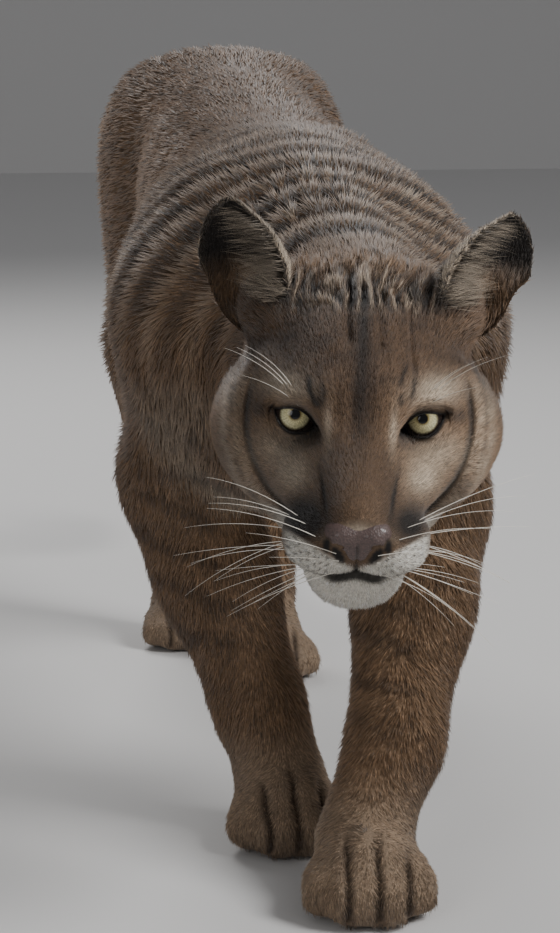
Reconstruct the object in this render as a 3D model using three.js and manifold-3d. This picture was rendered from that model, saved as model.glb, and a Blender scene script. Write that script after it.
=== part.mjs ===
// A life-size cougar, walking with its head held low, as a still model.
// Millimetres, +Z up. The nose points towards -Y and the animal's left side is +X.
// The body is one smooth form, blended from muscles along the bones, and it is parted
// into sub-parts by thin plane cuts. The origin is on the floor, under the middle of the box.
import * as THREE from "three";
import { mergeVertices } from "three/addons/utils/BufferGeometryUtils.js";
import Module from "manifold-3d";

// Driving sizes of the animal.
const WITHERS_HEIGHT = 582;
const RUMP_HEIGHT = 642;
const CHEST_WIDTH = 232;
const CHEST_DEPTH = 284;
const SHOULDER_HALF_WIDTH = 96;
const HIP_HALF_WIDTH = 66;
const FORELEG_BULK = { left: 1.14, right: 1.16 };
const EYE_HEIGHT = 388;
const HEAD_SIZE = 1.06;
const EYE_SPACING = 88;
const EYE_RADIUS = 16.6;
const EYE_TILT = 21;
const EYE_DEPTH = -8;
const HEAD_REACH = 352;
const HEAD_OFFSET = 8;
const HEAD_PITCH = 25;
const HEAD_YAW = -8;
const HEAD_ROLL = 2.5;
const EAR_LENGTH = 74;
const EAR_WIDTH = 74;
const EAR_CUP = 24;
const EAR_WALL = 7;
const EYE_LIFT = 17;
const LID_HALF_WIDTH = 17;
const LID_UP = 9.5;
const LID_DOWN = 10;
const JAW_INSET = 2.5;
const FORE_PAW_WIDTH = 100;
const HIND_PAW_WIDTH = 88;
const TAIL_BASE_RADIUS = 33;
const TAIL_TIP_RADIUS = 21;
const GAP = 0.3;

// Cell sizes of the faceted surfaces.
const CELL = { face: 8.8, jaw: 10, head: 16, nose: 5, neck: 29, torso: 38, tail: 23, limb: 25, shank: 21.5, paw: 15 };

const COAT = { tawny: 0x9a7654, pale: 0xd8c9b4, dark: 0x2b211b, nose: 0x8a6a62, eye: 0xb9b070 };
const coat = (color, roughness = 0.9) => new THREE.MeshStandardMaterial({ color, roughness, metalness: 0 });

const wasm = await Module();
wasm.setup();
const v3 = (x, y, z) => new THREE.Vector3(x, y, z);
const radians = THREE.MathUtils.degToRad;

// Smallest of two distances, rounded where they meet over a width k.
function blend(a, b, k) {
  const h = Math.max(k - Math.abs(a - b), 0) / k;
  return Math.min(a, b) - (h * h * k) / 4;
}

// A muscle is a round cone from a to b. wide scales its width along X.
function muscle(a, b, ra, rb, k, wide = 1) {
  const s = 1 / wide;
  const ax = a.x * s;
  const [bx, by, bz] = [b.x * s - ax, b.y - a.y, b.z - a.z];
  const l2 = bx * bx + by * by + bz * bz;
  const rr = ra - rb;
  const a2 = l2 - rr * rr;
  const il2 = 1 / l2;
  const shrink = Math.min(1, wide);
  const sign = Math.sign(rr);
  return {
    k,
    box: new THREE.Box3().setFromPoints([a, b]).expandByScalar(Math.max(ra, rb) * Math.max(1, wide)),
    distance(p) {
      const [px, py, pz] = [p.x * s - ax, p.y - a.y, p.z - a.z];
      const y = px * bx + py * by + pz * bz;
      const z = y - l2;
      const [qx, qy, qz] = [px * l2 - bx * y, py * l2 - by * y, pz * l2 - bz * y];
      const x2 = qx * qx + qy * qy + qz * qz;
      const y2 = y * y * l2;
      const z2 = z * z * l2;
      const kk = sign * rr * rr * x2;
      if (Math.sign(z) * a2 * z2 > kk) return (Math.sqrt(x2 + z2) * il2 - rb) * shrink;
      if (Math.sign(y) * a2 * y2 < kk) return (Math.sqrt(x2 + y2) * il2 - ra) * shrink;
      return ((Math.sqrt(x2 * a2 * il2) + y * rr) * il2 - ra) * shrink;
    },
  };
}

// An egg is an ellipsoid at c with radii r, turned by pitch degrees about X.
function egg(c, r, k, pitch = 0) {
  const cos = Math.cos(radians(pitch));
  const sin = Math.sin(radians(pitch));
  return {
    k,
    box: new THREE.Box3().setFromPoints([c]).expandByScalar(Math.max(r.x, r.y, r.z)),
    distance(p) {
      const dx = (p.x - c.x) / r.x;
      const y = p.y - c.y;
      const z = p.z - c.z;
      const dy = (y * cos + z * sin) / r.y;
      const dz = (z * cos - y * sin) / r.z;
      const k0 = Math.sqrt(dx * dx + dy * dy + dz * dz);
      if (k0 < 1e-6) return -Math.min(r.x, r.y, r.z);
      const k1 = Math.hypot(dx / r.x, dy / r.y, dz / r.z);
      return (k0 * (k0 - 1)) / k1;
    },
  };
}

// The field of a list of forms: negative inside.
function field(forms) {
  return (p) => {
    let d = 1e3;
    for (const f of forms) d = blend(d, f.distance(p), f.k);
    return d;
  };
}

// The head's own frame: its origin is midway between the eyes, -Y runs to the nose, and HEAD_SIZE
// scales every size on the head.
const headFrame = new THREE.Matrix4()
  .makeRotationFromEuler(new THREE.Euler(radians(HEAD_PITCH), radians(HEAD_ROLL), radians(HEAD_YAW), "ZXY"))
  .scale(v3(HEAD_SIZE, HEAD_SIZE, HEAD_SIZE))
  .setPosition(HEAD_OFFSET, -HEAD_REACH, EYE_HEIGHT);
const headFrameBack = headFrame.clone().invert();
const onHead = (x, forward, up) => v3(x, -forward, up).applyMatrix4(headFrame);
const headWay = (x, forward, up) => v3(x, -forward, up).transformDirection(headFrame);

// Forms given in the head's frame are measured there.
function inHead(forms) {
  const p = v3();
  return forms.map((f) => ({
    k: f.k * HEAD_SIZE,
    box: f.box.clone().applyMatrix4(headFrame),
    distance: (world) => f.distance(p.copy(world).applyMatrix4(headFrameBack)) * HEAD_SIZE,
  }));
}
const h = (x, forward, up) => v3(x, -forward, up);

// Both sides of a pair, mirrored in X.
const pair = (make) => [make(1), make(-1)];

const skull = [
  egg(h(0, -60, 10), v3(68, 82, 66), 16),
  egg(h(0, -14, 6), v3(50, 44, 40), 18),
  ...pair((s) => muscle(h(s * 20, 2, 20), h(s * 64, -28, 20), 17, 15, 16)),
  muscle(h(0, -4, 2), h(0, 72, -28), 27, 19, 16),
  muscle(h(0, 8, -32), h(0, 58, -44), 47, 33, 18, 1.04),
  ...pair((s) => egg(h(s * 24, 66, -50), v3(27, 32, 22), 9)),
  ...pair((s) => muscle(h(s * 40, 22, -32), h(s * 76, -34, -22), 17, 20, 18)),
  ...pair((s) => egg(h(s * 60, -46, -34), v3(42, 54, 50), 20)),
  ...pair((s) => muscle(h(s * 16, 58, -80), h(s * 40, -40, -76), 19, 30, 16)),
  egg(h(0, 64, -84), v3(32, 25, 23), 14),
  egg(h(0, -50, -60), v3(58, 62, 42), 22),
  ...pair((s) => egg(h(s * EYE_SPACING * 0.5, EYE_DEPTH, 0), v3(24, 20.5, 22), 8)),
  ...pair((s) => egg(h(s * 58, -80, 42), v3(30, 32, 30), 16)),
];

const NECK_ROOT = v3(0, -40, WITHERS_HEIGHT - 118);
const NECK_TOP = onHead(0, -92, -16);
const neck = [
  muscle(NECK_ROOT, NECK_TOP, 112, 80, 40, 0.92),
  muscle(v3(0, -70, 430), onHead(0, -60, -60), 84, 52, 44),
  muscle(v3(0, 0, WITHERS_HEIGHT - 62), onHead(0, -104, 18), 58, 54, 40),
];

const torso = [
  egg(v3(0, 70, WITHERS_HEIGHT - 6 - CHEST_DEPTH / 2), v3(CHEST_WIDTH / 2, 235, CHEST_DEPTH / 2), 50),
  egg(v3(0, -60, 440), v3(92, 92, 104), 50),
  egg(v3(-20, -104, 336), v3(68, 62, 64), 50),
  egg(v3(0, 290, 482), v3(108, 190, 118), 60),
  egg(v3(0, 440, 512), v3(92, 160, 102), 60),
  egg(v3(0, 575, RUMP_HEIGHT - 108), v3(88, 132, 104), 60, 8),
  muscle(v3(0, 60, WITHERS_HEIGHT - 50), v3(0, 560, RUMP_HEIGHT - 54), 40, 46, 60, 1.3),
  ...pair((s) => muscle(v3(s * 46, 40, WITHERS_HEIGHT - 36), v3(s * 88, -70, 470), 34, 58, 40)),
];

// Four toes, a sole pad and a wrist for a paw that stands at (x, y) and points along heading.
function pawForms(x, y, heading, width) {
  const u = width / 100;
  const turn = new THREE.Matrix4().makeRotationZ(radians(heading)).setPosition(x, y, 0);
  const at = (side, forward, up) => v3(side * u, -forward * u, up * u).applyMatrix4(turn);
  const toes = [
    [-35, 24, 20.5],
    [-13, 43, 23],
    [13, 43, 23],
    [35, 24, 20.5],
  ];
  return [
    muscle(at(0, -34, 40), at(0, 10, 34), 31 * u, 33 * u, 16, 1.12),
    egg(at(0, -14, 16), v3(38 * u, 34 * u, 22 * u), 12),
    ...toes.map(([side, forward, r]) => muscle(at(side * 0.9, forward - 30, 31), at(side, forward, 20), 16 * u, r * u, 5)),
  ];
}

// Bones of the limbs: [point, radius] from the body to the ankle, then the paw.
function foreleg(side, shoulder, elbow, wrist, foot, bulk) {
  return {
    forms: [
      muscle(v3(side * 72, shoulder.y + 42, WITHERS_HEIGHT - 84 - side * 6), shoulder, 48, 64, 40, 0.82),
      muscle(shoulder, elbow, 62, 50, 40, 0.86),
      muscle(v3(side * 84, shoulder.y + 96, 470), elbow.clone().add(v3(0, 22, 10)), 58, 40, 40, 0.74),
      muscle(elbow, elbow.clone().lerp(wrist, 0.45), 50 * bulk, 44 * bulk, 30),
      muscle(elbow.clone().lerp(wrist, 0.4), wrist, 44 * bulk, 34 * bulk, 24),
      muscle(wrist, foot.at, 34 * bulk, 31 * bulk, 18),
      ...pawForms(foot.x, foot.y, foot.heading, FORE_PAW_WIDTH),
    ],
    elbow,
    wrist,
    foot,
  };
}

function hindleg(side, hip, knee, hock, foot) {
  const heel = hock.clone().add(v3(0, 20, 16));
  return {
    forms: [
      muscle(hip, knee, 88, 56, 44, 0.72),
      muscle(hip.clone().add(v3(0, 60, -14)), hock.clone().lerp(knee, 0.62), 66, 40, 50, 0.7),
      muscle(knee, knee.clone().lerp(hock, 0.5), 52, 37, 30, 0.86),
      muscle(knee.clone().lerp(hock, 0.45), hock, 36, 27, 26, 0.86),
      muscle(knee.clone().lerp(hock, 0.6).add(v3(0, 26, 6)), heel, 17, 15, 24),
      muscle(hock, foot.at, 28, 27, 16, 0.9),
      ...pawForms(foot.x, foot.y, foot.heading, HIND_PAW_WIDTH),
    ],
    knee,
    hock,
    foot,
  };
}

const foot = (x, y, heading, back) => ({ x, y, heading, at: v3(x, y + back, 44) });
const S = SHOULDER_HALF_WIDTH;
const forelegLeft = foreleg(1, v3(S + 8, -128, 428), v3(106, -76, 276), v3(58, -218, 112), foot(24, -292, -6, 34), FORELEG_BULK.left);
const forelegRight = foreleg(-1, v3(-S, -92, 432), v3(-92, -8, 292), v3(-34, -66, 106), foot(-18, -116, 3, 26), FORELEG_BULK.right);
const P = HIP_HALF_WIDTH;
const hindlegLeft = hindleg(1, v3(P, 572, 542), v3(84, 436, 366), v3(58, 552, 176), foot(40, 456, -4, 36));
const hindlegRight = hindleg(-1, v3(-P, 588, 542), v3(-84, 496, 340), v3(-60, 690, 184), foot(-46, 606, 4, 34));

const tailLine = new THREE.CatmullRomCurve3([
  v3(0, 660, 590),
  v3(2, 740, 560),
  v3(6, 815, 475),
  v3(10, 866, 365),
  v3(14, 915, 260),
  v3(20, 985, 188),
  v3(30, 1066, 172),
  v3(42, 1130, 205),
]);
const TAIL_STEPS = 14;
const tailRadius = (t) => THREE.MathUtils.lerp(TAIL_BASE_RADIUS, TAIL_TIP_RADIUS, Math.min(1, t * 1.3));
const tail = Array.from({ length: TAIL_STEPS }, (_, i) => {
  const [t0, t1] = [i / TAIL_STEPS, (i + 1) / TAIL_STEPS];
  return muscle(tailLine.getPointAt(t0), tailLine.getPointAt(t1), tailRadius(t0), tailRadius(t1), i ? 4 : 40);
});

const head = inHead(skull);
const legs = [forelegLeft, forelegRight, hindlegLeft, hindlegRight].flatMap((l) => l.forms);

// A cut is a plane. Its near side is the one that the normal points away from, and each side
// stands half a gap back from it.
const HUGE = 2600;
function cut(point, normal) {
  const n = normal.clone().normalize();
  const turn = new THREE.Quaternion().setFromUnitVectors(v3(0, 0, 1), n);
  const half = (sign) => {
    const middle = point.clone().addScaledVector(n, (sign * (HUGE + GAP)) / 2);
    return solid(new THREE.BoxGeometry(HUGE, HUGE, HUGE), new THREE.Matrix4().compose(middle, turn, v3(1, 1, 1)));
  };
  const away = (p) => n.dot(p) - n.dot(point);
  return {
    near: { keep: half(-1), reach: away },
    far: { keep: half(1), reach: (p) => -away(p) },
  };
}

// A geometry with one vertex wherever several faces meet.
function welded(geometry) {
  const bare = geometry.clone();
  bare.deleteAttribute("normal");
  bare.deleteAttribute("uv");
  return mergeVertices(bare, 1e-3);
}

// A solid from a closed geometry.
function solid(geometry, matrix = new THREE.Matrix4()) {
  const shape = geometry.hasAttribute("uv") ? welded(geometry) : geometry;
  const moved = shape.clone().applyMatrix4(matrix);
  const triVerts = new Uint32Array(moved.index.array);
  return new wasm.Manifold(new wasm.Mesh({ numProp: 3, vertProperties: moved.attributes.position.array, triVerts }));
}

// The largest closed body of a solid, as a geometry.
function geometryOf(manifold) {
  const kept = manifold.decompose().sort((a, b) => b.volume() - a.volume())[0];
  const mesh = kept.getMesh();
  return new THREE.BufferGeometry()
    .setAttribute("position", new THREE.BufferAttribute(new Float32Array(mesh.vertProperties), 3))
    .setIndex([...mesh.triVerts]);
}

// Draws the surface of a field in facets of about one cell, a little past the sides it is cut to.
const SHIFT = v3(0.37, 0.41, 0.43);
function surface(skin, box, cell, sides = []) {
  const lo = box.min.clone().divideScalar(cell).floor().subScalar(2);
  const size = box.max.clone().divideScalar(cell).ceil().addScalar(2).sub(lo);
  const count = [size.x + 1, size.y + 1, size.z + 1];
  const [nx, ny, nz] = count;
  const index = (i, j, k) => i + nx * (j + ny * k);
  const cornerAt = (i, j, k) => v3(lo.x + i, lo.y + j, lo.z + k).add(SHIFT).multiplyScalar(cell);
  const value = new Float64Array(nx * ny * nz);
  for (let k = 0; k < nz; k++)
    for (let j = 0; j < ny; j++)
      for (let i = 0; i < nx; i++) {
        const p = cornerAt(i, j, k);
        const rim = cell * Math.max(1.5 - i, i - nx + 2.5, 1.5 - j, j - ny + 2.5, 1.5 - k, k - nz + 2.5);
        const past = Math.max(rim, ...sides.map((side) => side.reach(p) - 1.7 * cell));
        value[index(i, j, k)] = past > cell ? past : Math.max(past, skin(p));
      }
  partSheets(value, count, index);
  const corners = Array.from({ length: 8 }, (_, c) => [c & 1, (c >> 1) & 1, (c >> 2) & 1]);
  const vertexOf = new Int32Array(value.length).fill(-1);
  const points = [];
  for (let k = 0; k < nz - 1; k++)
    for (let j = 0; j < ny - 1; j++)
      for (let i = 0; i < nx - 1; i++) {
        const at = corners.map(([a, b, c]) => value[index(i + a, j + b, k + c)]);
        if (at.every((d) => d < 0) || at.every((d) => d >= 0)) continue;
        vertexOf[index(i, j, k)] = points.length;
        points.push(settle(middleOf(at, corners).multiplyScalar(cell).add(cornerAt(i, j, k)), skin, cell));
      }
  return new THREE.BufferGeometry().setFromPoints(points).setIndex(facesOf(value, vertexOf, points, count, index));
}

// The mean of the places where a cell's edges cross the surface, in cells from its low corner.
function middleOf(at, corners) {
  const sum = v3(0, 0, 0);
  let crossings = 0;
  for (let a = 0; a < 8; a++)
    for (const bit of [1, 2, 4]) {
      const b = a | bit;
      if (a === b || at[a] < 0 === at[b] < 0) continue;
      sum.add(v3(...corners[a]).lerp(v3(...corners[b]), at[a] / (at[a] - at[b])));
      crossings++;
    }
  return sum.divideScalar(crossings);
}

// Moves a point down the slope onto the surface, by no more than half a cell.
function settle(start, skin, cell) {
  const point = start.clone();
  const e = 0.05;
  for (let step = 0; step < 4; step++) {
    const d = skin(point);
    if (Math.abs(d) > cell) return start;
    const slope = v3(e, 0, 0);
    const x = skin(slope.clone().add(point)) - d;
    const y = skin(slope.set(0, e, 0).add(point)) - d;
    const z = skin(slope.set(0, 0, e).add(point)) - d;
    slope.set(x, y, z).divideScalar(e);
    point.addScaledVector(slope, -d / Math.max(slope.lengthSq(), 0.2));
  }
  return start.add(point.sub(start).clampLength(0, cell / 2));
}

// Fills one corner of each square whose insides lie on a diagonal, so that two sheets never share an edge.
const STEPS = [
  [1, 0, 0],
  [0, 1, 0],
  [0, 0, 1],
];
function partSheets(value, [nx, ny, nz], index) {
  const inside = (n) => value[n] < 0;
  let again = true;
  while (again) {
    again = false;
    for (let k = 0; k < nz - 1; k++)
      for (let j = 0; j < ny - 1; j++)
        for (let i = 0; i < nx - 1; i++)
          for (let axis = 0; axis < 3; axis++) {
            const [a, b] = [STEPS[axis], STEPS[(axis + 1) % 3]];
            const n00 = index(i, j, k);
            const n10 = index(i + a[0], j + a[1], k + a[2]);
            const n01 = index(i + b[0], j + b[1], k + b[2]);
            const n11 = index(i + a[0] + b[0], j + a[1] + b[1], k + a[2] + b[2]);
            if (inside(n00) !== inside(n11) || inside(n10) !== inside(n01) || inside(n00) === inside(n10)) continue;
            const [p, q] = inside(n00) ? [n10, n01] : [n00, n11];
            value[value[p] < value[q] ? p : q] = -1e-3;
            again = true;
          }
  }
}

// Two triangles for each grid edge that crosses the surface, split along the shorter diagonal.
const AROUND = [
  [[0, 0, 0], [0, -1, 0], [0, -1, -1], [0, 0, -1]],
  [[0, 0, 0], [0, 0, -1], [-1, 0, -1], [-1, 0, 0]],
  [[0, 0, 0], [-1, 0, 0], [-1, -1, 0], [0, -1, 0]],
];
function facesOf(value, vertexOf, points, [nx, ny, nz], index) {
  const faces = [];
  for (let k = 1; k < nz - 1; k++)
    for (let j = 1; j < ny - 1; j++)
      for (let i = 1; i < nx - 1; i++)
        STEPS.forEach(([a, b, c], axis) => {
          const here = value[index(i, j, k)] < 0;
          if (here === value[index(i + a, j + b, k + c)] < 0) return;
          const quad = AROUND[axis].map(([x, y, z]) => vertexOf[index(i + x, j + y, k + z)]);
          if (!here) quad.reverse();
          const [p, q, r, s] = quad;
          const short = points[p].distanceToSquared(points[r]) < points[q].distanceToSquared(points[s]);
          faces.push(...(short ? [p, q, r, p, r, s] : [q, r, s, q, s, p]));
        });
  return faces;
}

function boxOf(forms) {
  const box = new THREE.Box3();
  forms.forEach((f) => box.union(f.box));
  return box;
}

// The solid of a field between cuts.
function piece(skin, box, cell, sides) {
  return sides.reduce((made, side) => made.intersect(side.keep), solid(surface(skin, box, cell, sides)));
}

const cougar = new THREE.Group();
function add(name, made, material) {
  const mesh = new THREE.Mesh(geometryOf(made), material);
  mesh.name = name;
  cougar.add(mesh);
}
const sideName = (name, side) => name + (side > 0 ? "_left" : "_right");

// Cuts across the head and body, in order from the nose to the tail.
const faceCut = cut(onHead(0, -34, 0), headWay(0, -1, 0));
const mouthCut = cut(onHead(0, 60, -66), headWay(0, 0.1, -1));
const headCut = cut(onHead(0, -98, 0), v3(0, 0.82, 0.36));
const neckCut = cut(v3(0, -96, 480), v3(0, 0.9, 0.3));
const chestCut = cut(v3(0, 215, 480), v3(0, 1, 0));
const bellyCut = cut(v3(0, 440, 500), v3(0, 1, -0.15));
const [rootCut, middleCut, tipCut] = [0.12, 0.42, 0.7].map((t) => cut(tailLine.getPointAt(t), tailLine.getTangentAt(t)));
const floorCut = cut(v3(0, 0, -GAP / 2), v3(0, 0, 1));
const along = (a, b, t) => cut(a.clone().lerp(b, t), b.clone().sub(a));

// The block of space that holds a leg. Its top slopes up away from the midline.
function legBlock(side, { x, z, slope }, from, to, grow) {
  const [wide, deep] = [1400, 900];
  const block = new THREE.BoxGeometry(wide, to - from + grow * 2, deep);
  block.translate(0, 0, grow - deep / 2).applyMatrix4(new THREE.Matrix4().makeRotationY(radians(-side * slope)));
  return solid(block.translate(side * x, (from + to) / 2, z));
}
const FORELEG_TOP = { x: 46, z: 286, slope: 34 };
const HINDLEG_TOP = { x: 32, z: 356, slope: 43 };
function legSpace(side, top, from, to) {
  const rise = Math.tan(radians(top.slope));
  const above = (p) => (p.z - top.z - (side * p.x - top.x) * rise) * Math.cos(radians(top.slope));
  const reach = (p) => Math.max(above(p), from - p.y, p.y - to);
  return { inner: { keep: legBlock(side, top, from, to, 0), reach }, outer: legBlock(side, top, from, to, GAP) };
}
const spaces = {
  foreleg_left: legSpace(1, FORELEG_TOP, -450, 90),
  foreleg_right: legSpace(-1, FORELEG_TOP, -450, 130),
  hindleg_left: legSpace(1, HINDLEG_TOP, 330, 900),
  hindleg_right: legSpace(-1, HINDLEG_TOP, 380, 900),
};
const clearOfLegs = (made) => Object.values(spaces).reduce((left, { outer }) => left.subtract(outer), made);
const tawny = coat(COAT.tawny);
const pale = coat(COAT.pale);
const dark = coat(COAT.dark);
const headSkin = field([...torso, ...neck, ...head]);
const trunkForms = [...torso, ...neck, ...head, ...legs, ...tail.slice(0, 3)];
const trunkSkin = field(trunkForms);
const headBox = boxOf(head);

// Eyes: balls in sockets, seen through an almond opening between the lids.
const eyeAt = (side) => onHead((side * EYE_SPACING) / 2, EYE_DEPTH, 0);
const ball = (side, r) => solid(new THREE.SphereGeometry(r, 16, 10), new THREE.Matrix4().setPosition(eyeAt(side)));
function lidOpening(side) {
  const w = LID_HALF_WIDTH * side;
  const almond = new THREE.Shape();
  almond.moveTo(-w, 0);
  almond.quadraticCurveTo(-w * 0.1, LID_UP * 2, w, 0);
  almond.quadraticCurveTo(w * 0.05, -LID_DOWN * 2, -w, 0);
  const prism = new THREE.ExtrudeGeometry(almond, { depth: 40, bevelEnabled: false, curveSegments: 7 });
  prism.rotateX(Math.PI / 2).rotateY(radians(-side * EYE_TILT)).rotateX(radians(-EYE_LIFT));
  return solid(prism.translate((side * EYE_SPACING) / 2, -EYE_DEPTH - 3, 0), headFrame);
}
const SOCKET = EYE_RADIUS + 0.9;

// The bare nose pad, with its two nostrils.
const noseForms = inHead([
  ...pair((s) => egg(h(s * 9.5, 85, -31), v3(14, 13, 9.5), 5)),
  egg(h(0, 86, -40), v3(12, 11, 12), 5),
]);
const noseSkin = field(noseForms);
const nosePocket = solid(surface((p) => noseSkin(p) - 2 * GAP, boxOf(noseForms), CELL.nose));
function nostril(side) {
  const rod = new THREE.CapsuleGeometry(3, 9, 3, 8).rotateZ(radians(side * 62)).rotateX(radians(16));
  return solid(rod.translate(side * 15, -97, -35.5), headFrame);
}
const nose = pair(nostril).reduce((left, hole) => left.subtract(hole), solid(surface(noseSkin, boxOf(noseForms), CELL.nose)));

const faceSkin = piece(headSkin, headBox, CELL.face, [faceCut.near, mouthCut.near]);
const openings = pair((s) => [ball(s, SOCKET), lidOpening(s)]).flat();
add("face", [...openings, nosePocket].reduce((left, hole) => left.subtract(hole), faceSkin), tawny);
add("jaw", piece((p) => headSkin(p) + JAW_INSET, headBox, CELL.jaw, [faceCut.near, mouthCut.far]).subtract(nosePocket), pale);
add("nose", nose, coat(COAT.nose, 0.5));
pair((s) => add(sideName("eye", s), ball(s, EYE_RADIUS), coat(COAT.eye, 0.1)));
add("head", piece(headSkin, headBox, CELL.head, [faceCut.far, headCut.near]), tawny);

// Ears: a ball drawn out into a rounded cup, whose root is cut off at the skull.
function earGeometry(side) {
  const g = welded(new THREE.SphereGeometry(1, 18, 9).rotateX(Math.PI / 2));
  const at = g.getAttribute("position");
  for (let i = 0; i < at.count; i++) {
    const n = v3().fromBufferAttribute(at, i);
    const r = Math.min(1, Math.hypot(n.x, n.z));
    const angle = Math.atan2(n.z, n.x * side);
    const top = Math.max(0, Math.sin(angle));
    const reach = (EAR_WIDTH / 2) * (1 + 0.36 * top * top);
    const cup = EAR_CUP * (1 - r * r) * (1 - 0.3 * top);
    const wall = n.y > 0 ? EAR_WALL * Math.sqrt(1 - r ** 6) : 0;
    const curl = 7 * (n.x * r) ** 2;
    at.setXYZ(i, r * Math.cos(angle) * reach * side, cup + wall - curl, r * Math.sin(angle) * reach + EAR_LENGTH * 0.38);
  }
  return g;
}
const headClear = solid(surface((p) => trunkSkin(p) - 5 * GAP, headBox.clone().expandByScalar(60), CELL.head));
pair((s) => {
  const turn = new THREE.Matrix4()
    .makeRotationFromEuler(new THREE.Euler(radians(-24), radians(s * 24), radians(s * 20), "ZYX"))
    .setPosition(h(s * 72, -68, 50))
    .premultiply(headFrame);
  add(sideName("ear", s), solid(earGeometry(s), turn).subtract(headClear), dark);
});

// The trunk, parted into neck, chest, belly and rump.
const trunkBox = boxOf(trunkForms);
const underCut = cut(v3(0, 0, 250), v3(0, 0, 1));
const trunkPiece = (cell, sides) => clearOfLegs(piece(trunkSkin, trunkBox, cell, [...sides, underCut.far]));
const tailSpace = solid(
  new THREE.BoxGeometry(150, 150, 1200),
  new THREE.Matrix4().compose(
    tailLine.getPointAt(0.12).addScaledVector(tailLine.getTangentAt(0.12), 600 - GAP / 2),
    new THREE.Quaternion().setFromUnitVectors(v3(0, 0, 1), tailLine.getTangentAt(0.12)),
    v3(1, 1, 1),
  ),
);
add("neck", trunkPiece(CELL.neck, [headCut.far, neckCut.near]), tawny);
add("chest", trunkPiece(CELL.torso, [neckCut.far, chestCut.near]), tawny);
add("belly", trunkPiece(CELL.torso, [chestCut.far, bellyCut.near]), tawny);
add("rump", trunkPiece(CELL.torso, [bellyCut.far]).subtract(tailSpace), tawny);

const tailSkin = field(tail);
const tailBox = boxOf(tail);
add("tail_base", piece(tailSkin, tailBox, CELL.tail, [rootCut.far, middleCut.near]), tawny);
add("tail_middle", piece(tailSkin, tailBox, CELL.tail, [middleCut.far, tipCut.near]), tawny);
add("tail_tip", piece(tailSkin, tailBox, CELL.tail, [tipCut.far]), dark);

// Legs, each in lengths from the body down to the paw.
function addLeg(name, leg, lengths) {
  const skin = field([...torso, ...neck, ...leg.forms]);
  const box = boxOf(leg.forms);
  lengths.forEach(([length, cell, sides, material]) => {
    add(name + "_" + length, piece(skin, box, cell, [spaces[name].inner, ...sides]), material);
  });
}
function addForeleg(name, leg) {
  const elbowCut = along(leg.elbow, leg.wrist, 0.2);
  const wristCut = along(leg.wrist, leg.foot.at, 0.15);
  addLeg(name, leg, [
    ["upper", CELL.limb, [elbowCut.near], tawny],
    ["forearm", CELL.shank, [elbowCut.far, wristCut.near], tawny],
    ["paw", CELL.paw, [wristCut.far, floorCut.far], pale],
  ]);
}
function addHindleg(name, leg) {
  const kneeCut = along(leg.knee, leg.hock, 0.3);
  const hockCut = along(leg.knee, leg.hock, 0.86);
  const ankleCut = along(leg.hock, leg.foot.at, 0.72);
  addLeg(name, leg, [
    ["thigh", CELL.limb, [kneeCut.near], tawny],
    ["shank", CELL.shank, [kneeCut.far, hockCut.near], tawny],
    ["hock", CELL.shank, [hockCut.far, ankleCut.near], tawny],
    ["paw", CELL.paw, [ankleCut.far, floorCut.far], pale],
  ]);
}
addForeleg("foreleg_left", forelegLeft);
addForeleg("foreleg_right", forelegRight);
addHindleg("hindleg_left", hindlegLeft);
addHindleg("hindleg_right", hindlegRight);

// The origin goes to the floor, under the middle of the box.
const extent = new THREE.Box3().setFromObject(cougar);
const middle = extent.getCenter(v3());
cougar.children.forEach((mesh) => mesh.geometry.translate(-middle.x, -middle.y, -extent.min.z));

export default cougar;
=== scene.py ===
# %% [markdown]
# # A life-size cougar
# The cougar walks towards us with its head held low. The frame holds its measured solids, and this
# script dresses them: one skin over all the flesh, a coat of thin mesh tufts over the skin, and the
# eyes, nose pad, lids and whiskers as pieces of their own. Everything is in metres, +Z is up, and
# the nose points along -Y.

# %% Imports and the frame
import math
import bpy
import bmesh
import numpy as np
from mathutils import Matrix, Vector


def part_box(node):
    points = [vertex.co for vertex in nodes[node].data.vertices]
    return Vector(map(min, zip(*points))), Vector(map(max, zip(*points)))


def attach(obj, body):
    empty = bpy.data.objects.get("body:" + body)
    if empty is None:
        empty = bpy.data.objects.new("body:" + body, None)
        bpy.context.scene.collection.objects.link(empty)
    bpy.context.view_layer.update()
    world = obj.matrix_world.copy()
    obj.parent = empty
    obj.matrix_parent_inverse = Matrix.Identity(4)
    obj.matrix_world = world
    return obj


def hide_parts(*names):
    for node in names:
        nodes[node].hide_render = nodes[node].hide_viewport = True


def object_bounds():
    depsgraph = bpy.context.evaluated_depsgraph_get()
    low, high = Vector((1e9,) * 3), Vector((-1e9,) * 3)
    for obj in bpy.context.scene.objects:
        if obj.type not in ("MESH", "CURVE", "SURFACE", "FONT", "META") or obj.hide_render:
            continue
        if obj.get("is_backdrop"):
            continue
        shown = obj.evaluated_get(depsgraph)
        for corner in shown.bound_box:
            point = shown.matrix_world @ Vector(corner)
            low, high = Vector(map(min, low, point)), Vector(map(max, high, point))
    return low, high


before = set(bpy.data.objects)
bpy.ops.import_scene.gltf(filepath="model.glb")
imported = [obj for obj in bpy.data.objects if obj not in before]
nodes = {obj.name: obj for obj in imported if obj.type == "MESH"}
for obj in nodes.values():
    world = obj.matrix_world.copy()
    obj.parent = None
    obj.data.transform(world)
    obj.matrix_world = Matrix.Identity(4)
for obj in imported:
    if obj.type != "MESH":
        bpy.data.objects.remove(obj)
cad_low, cad_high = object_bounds()
print("nodes:", len(nodes), "box:", [round(v, 3) for v in (*cad_low, *cad_high)])

# %% [markdown]
# ## The head's own frame
# Folds, lids and markings are easiest to place in axes that sit on the head and turn with it. Their
# origin is midway between the eyes, forward runs to the nose and up runs to the crown. The two
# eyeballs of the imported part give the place, and named angles give the turn.

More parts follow.
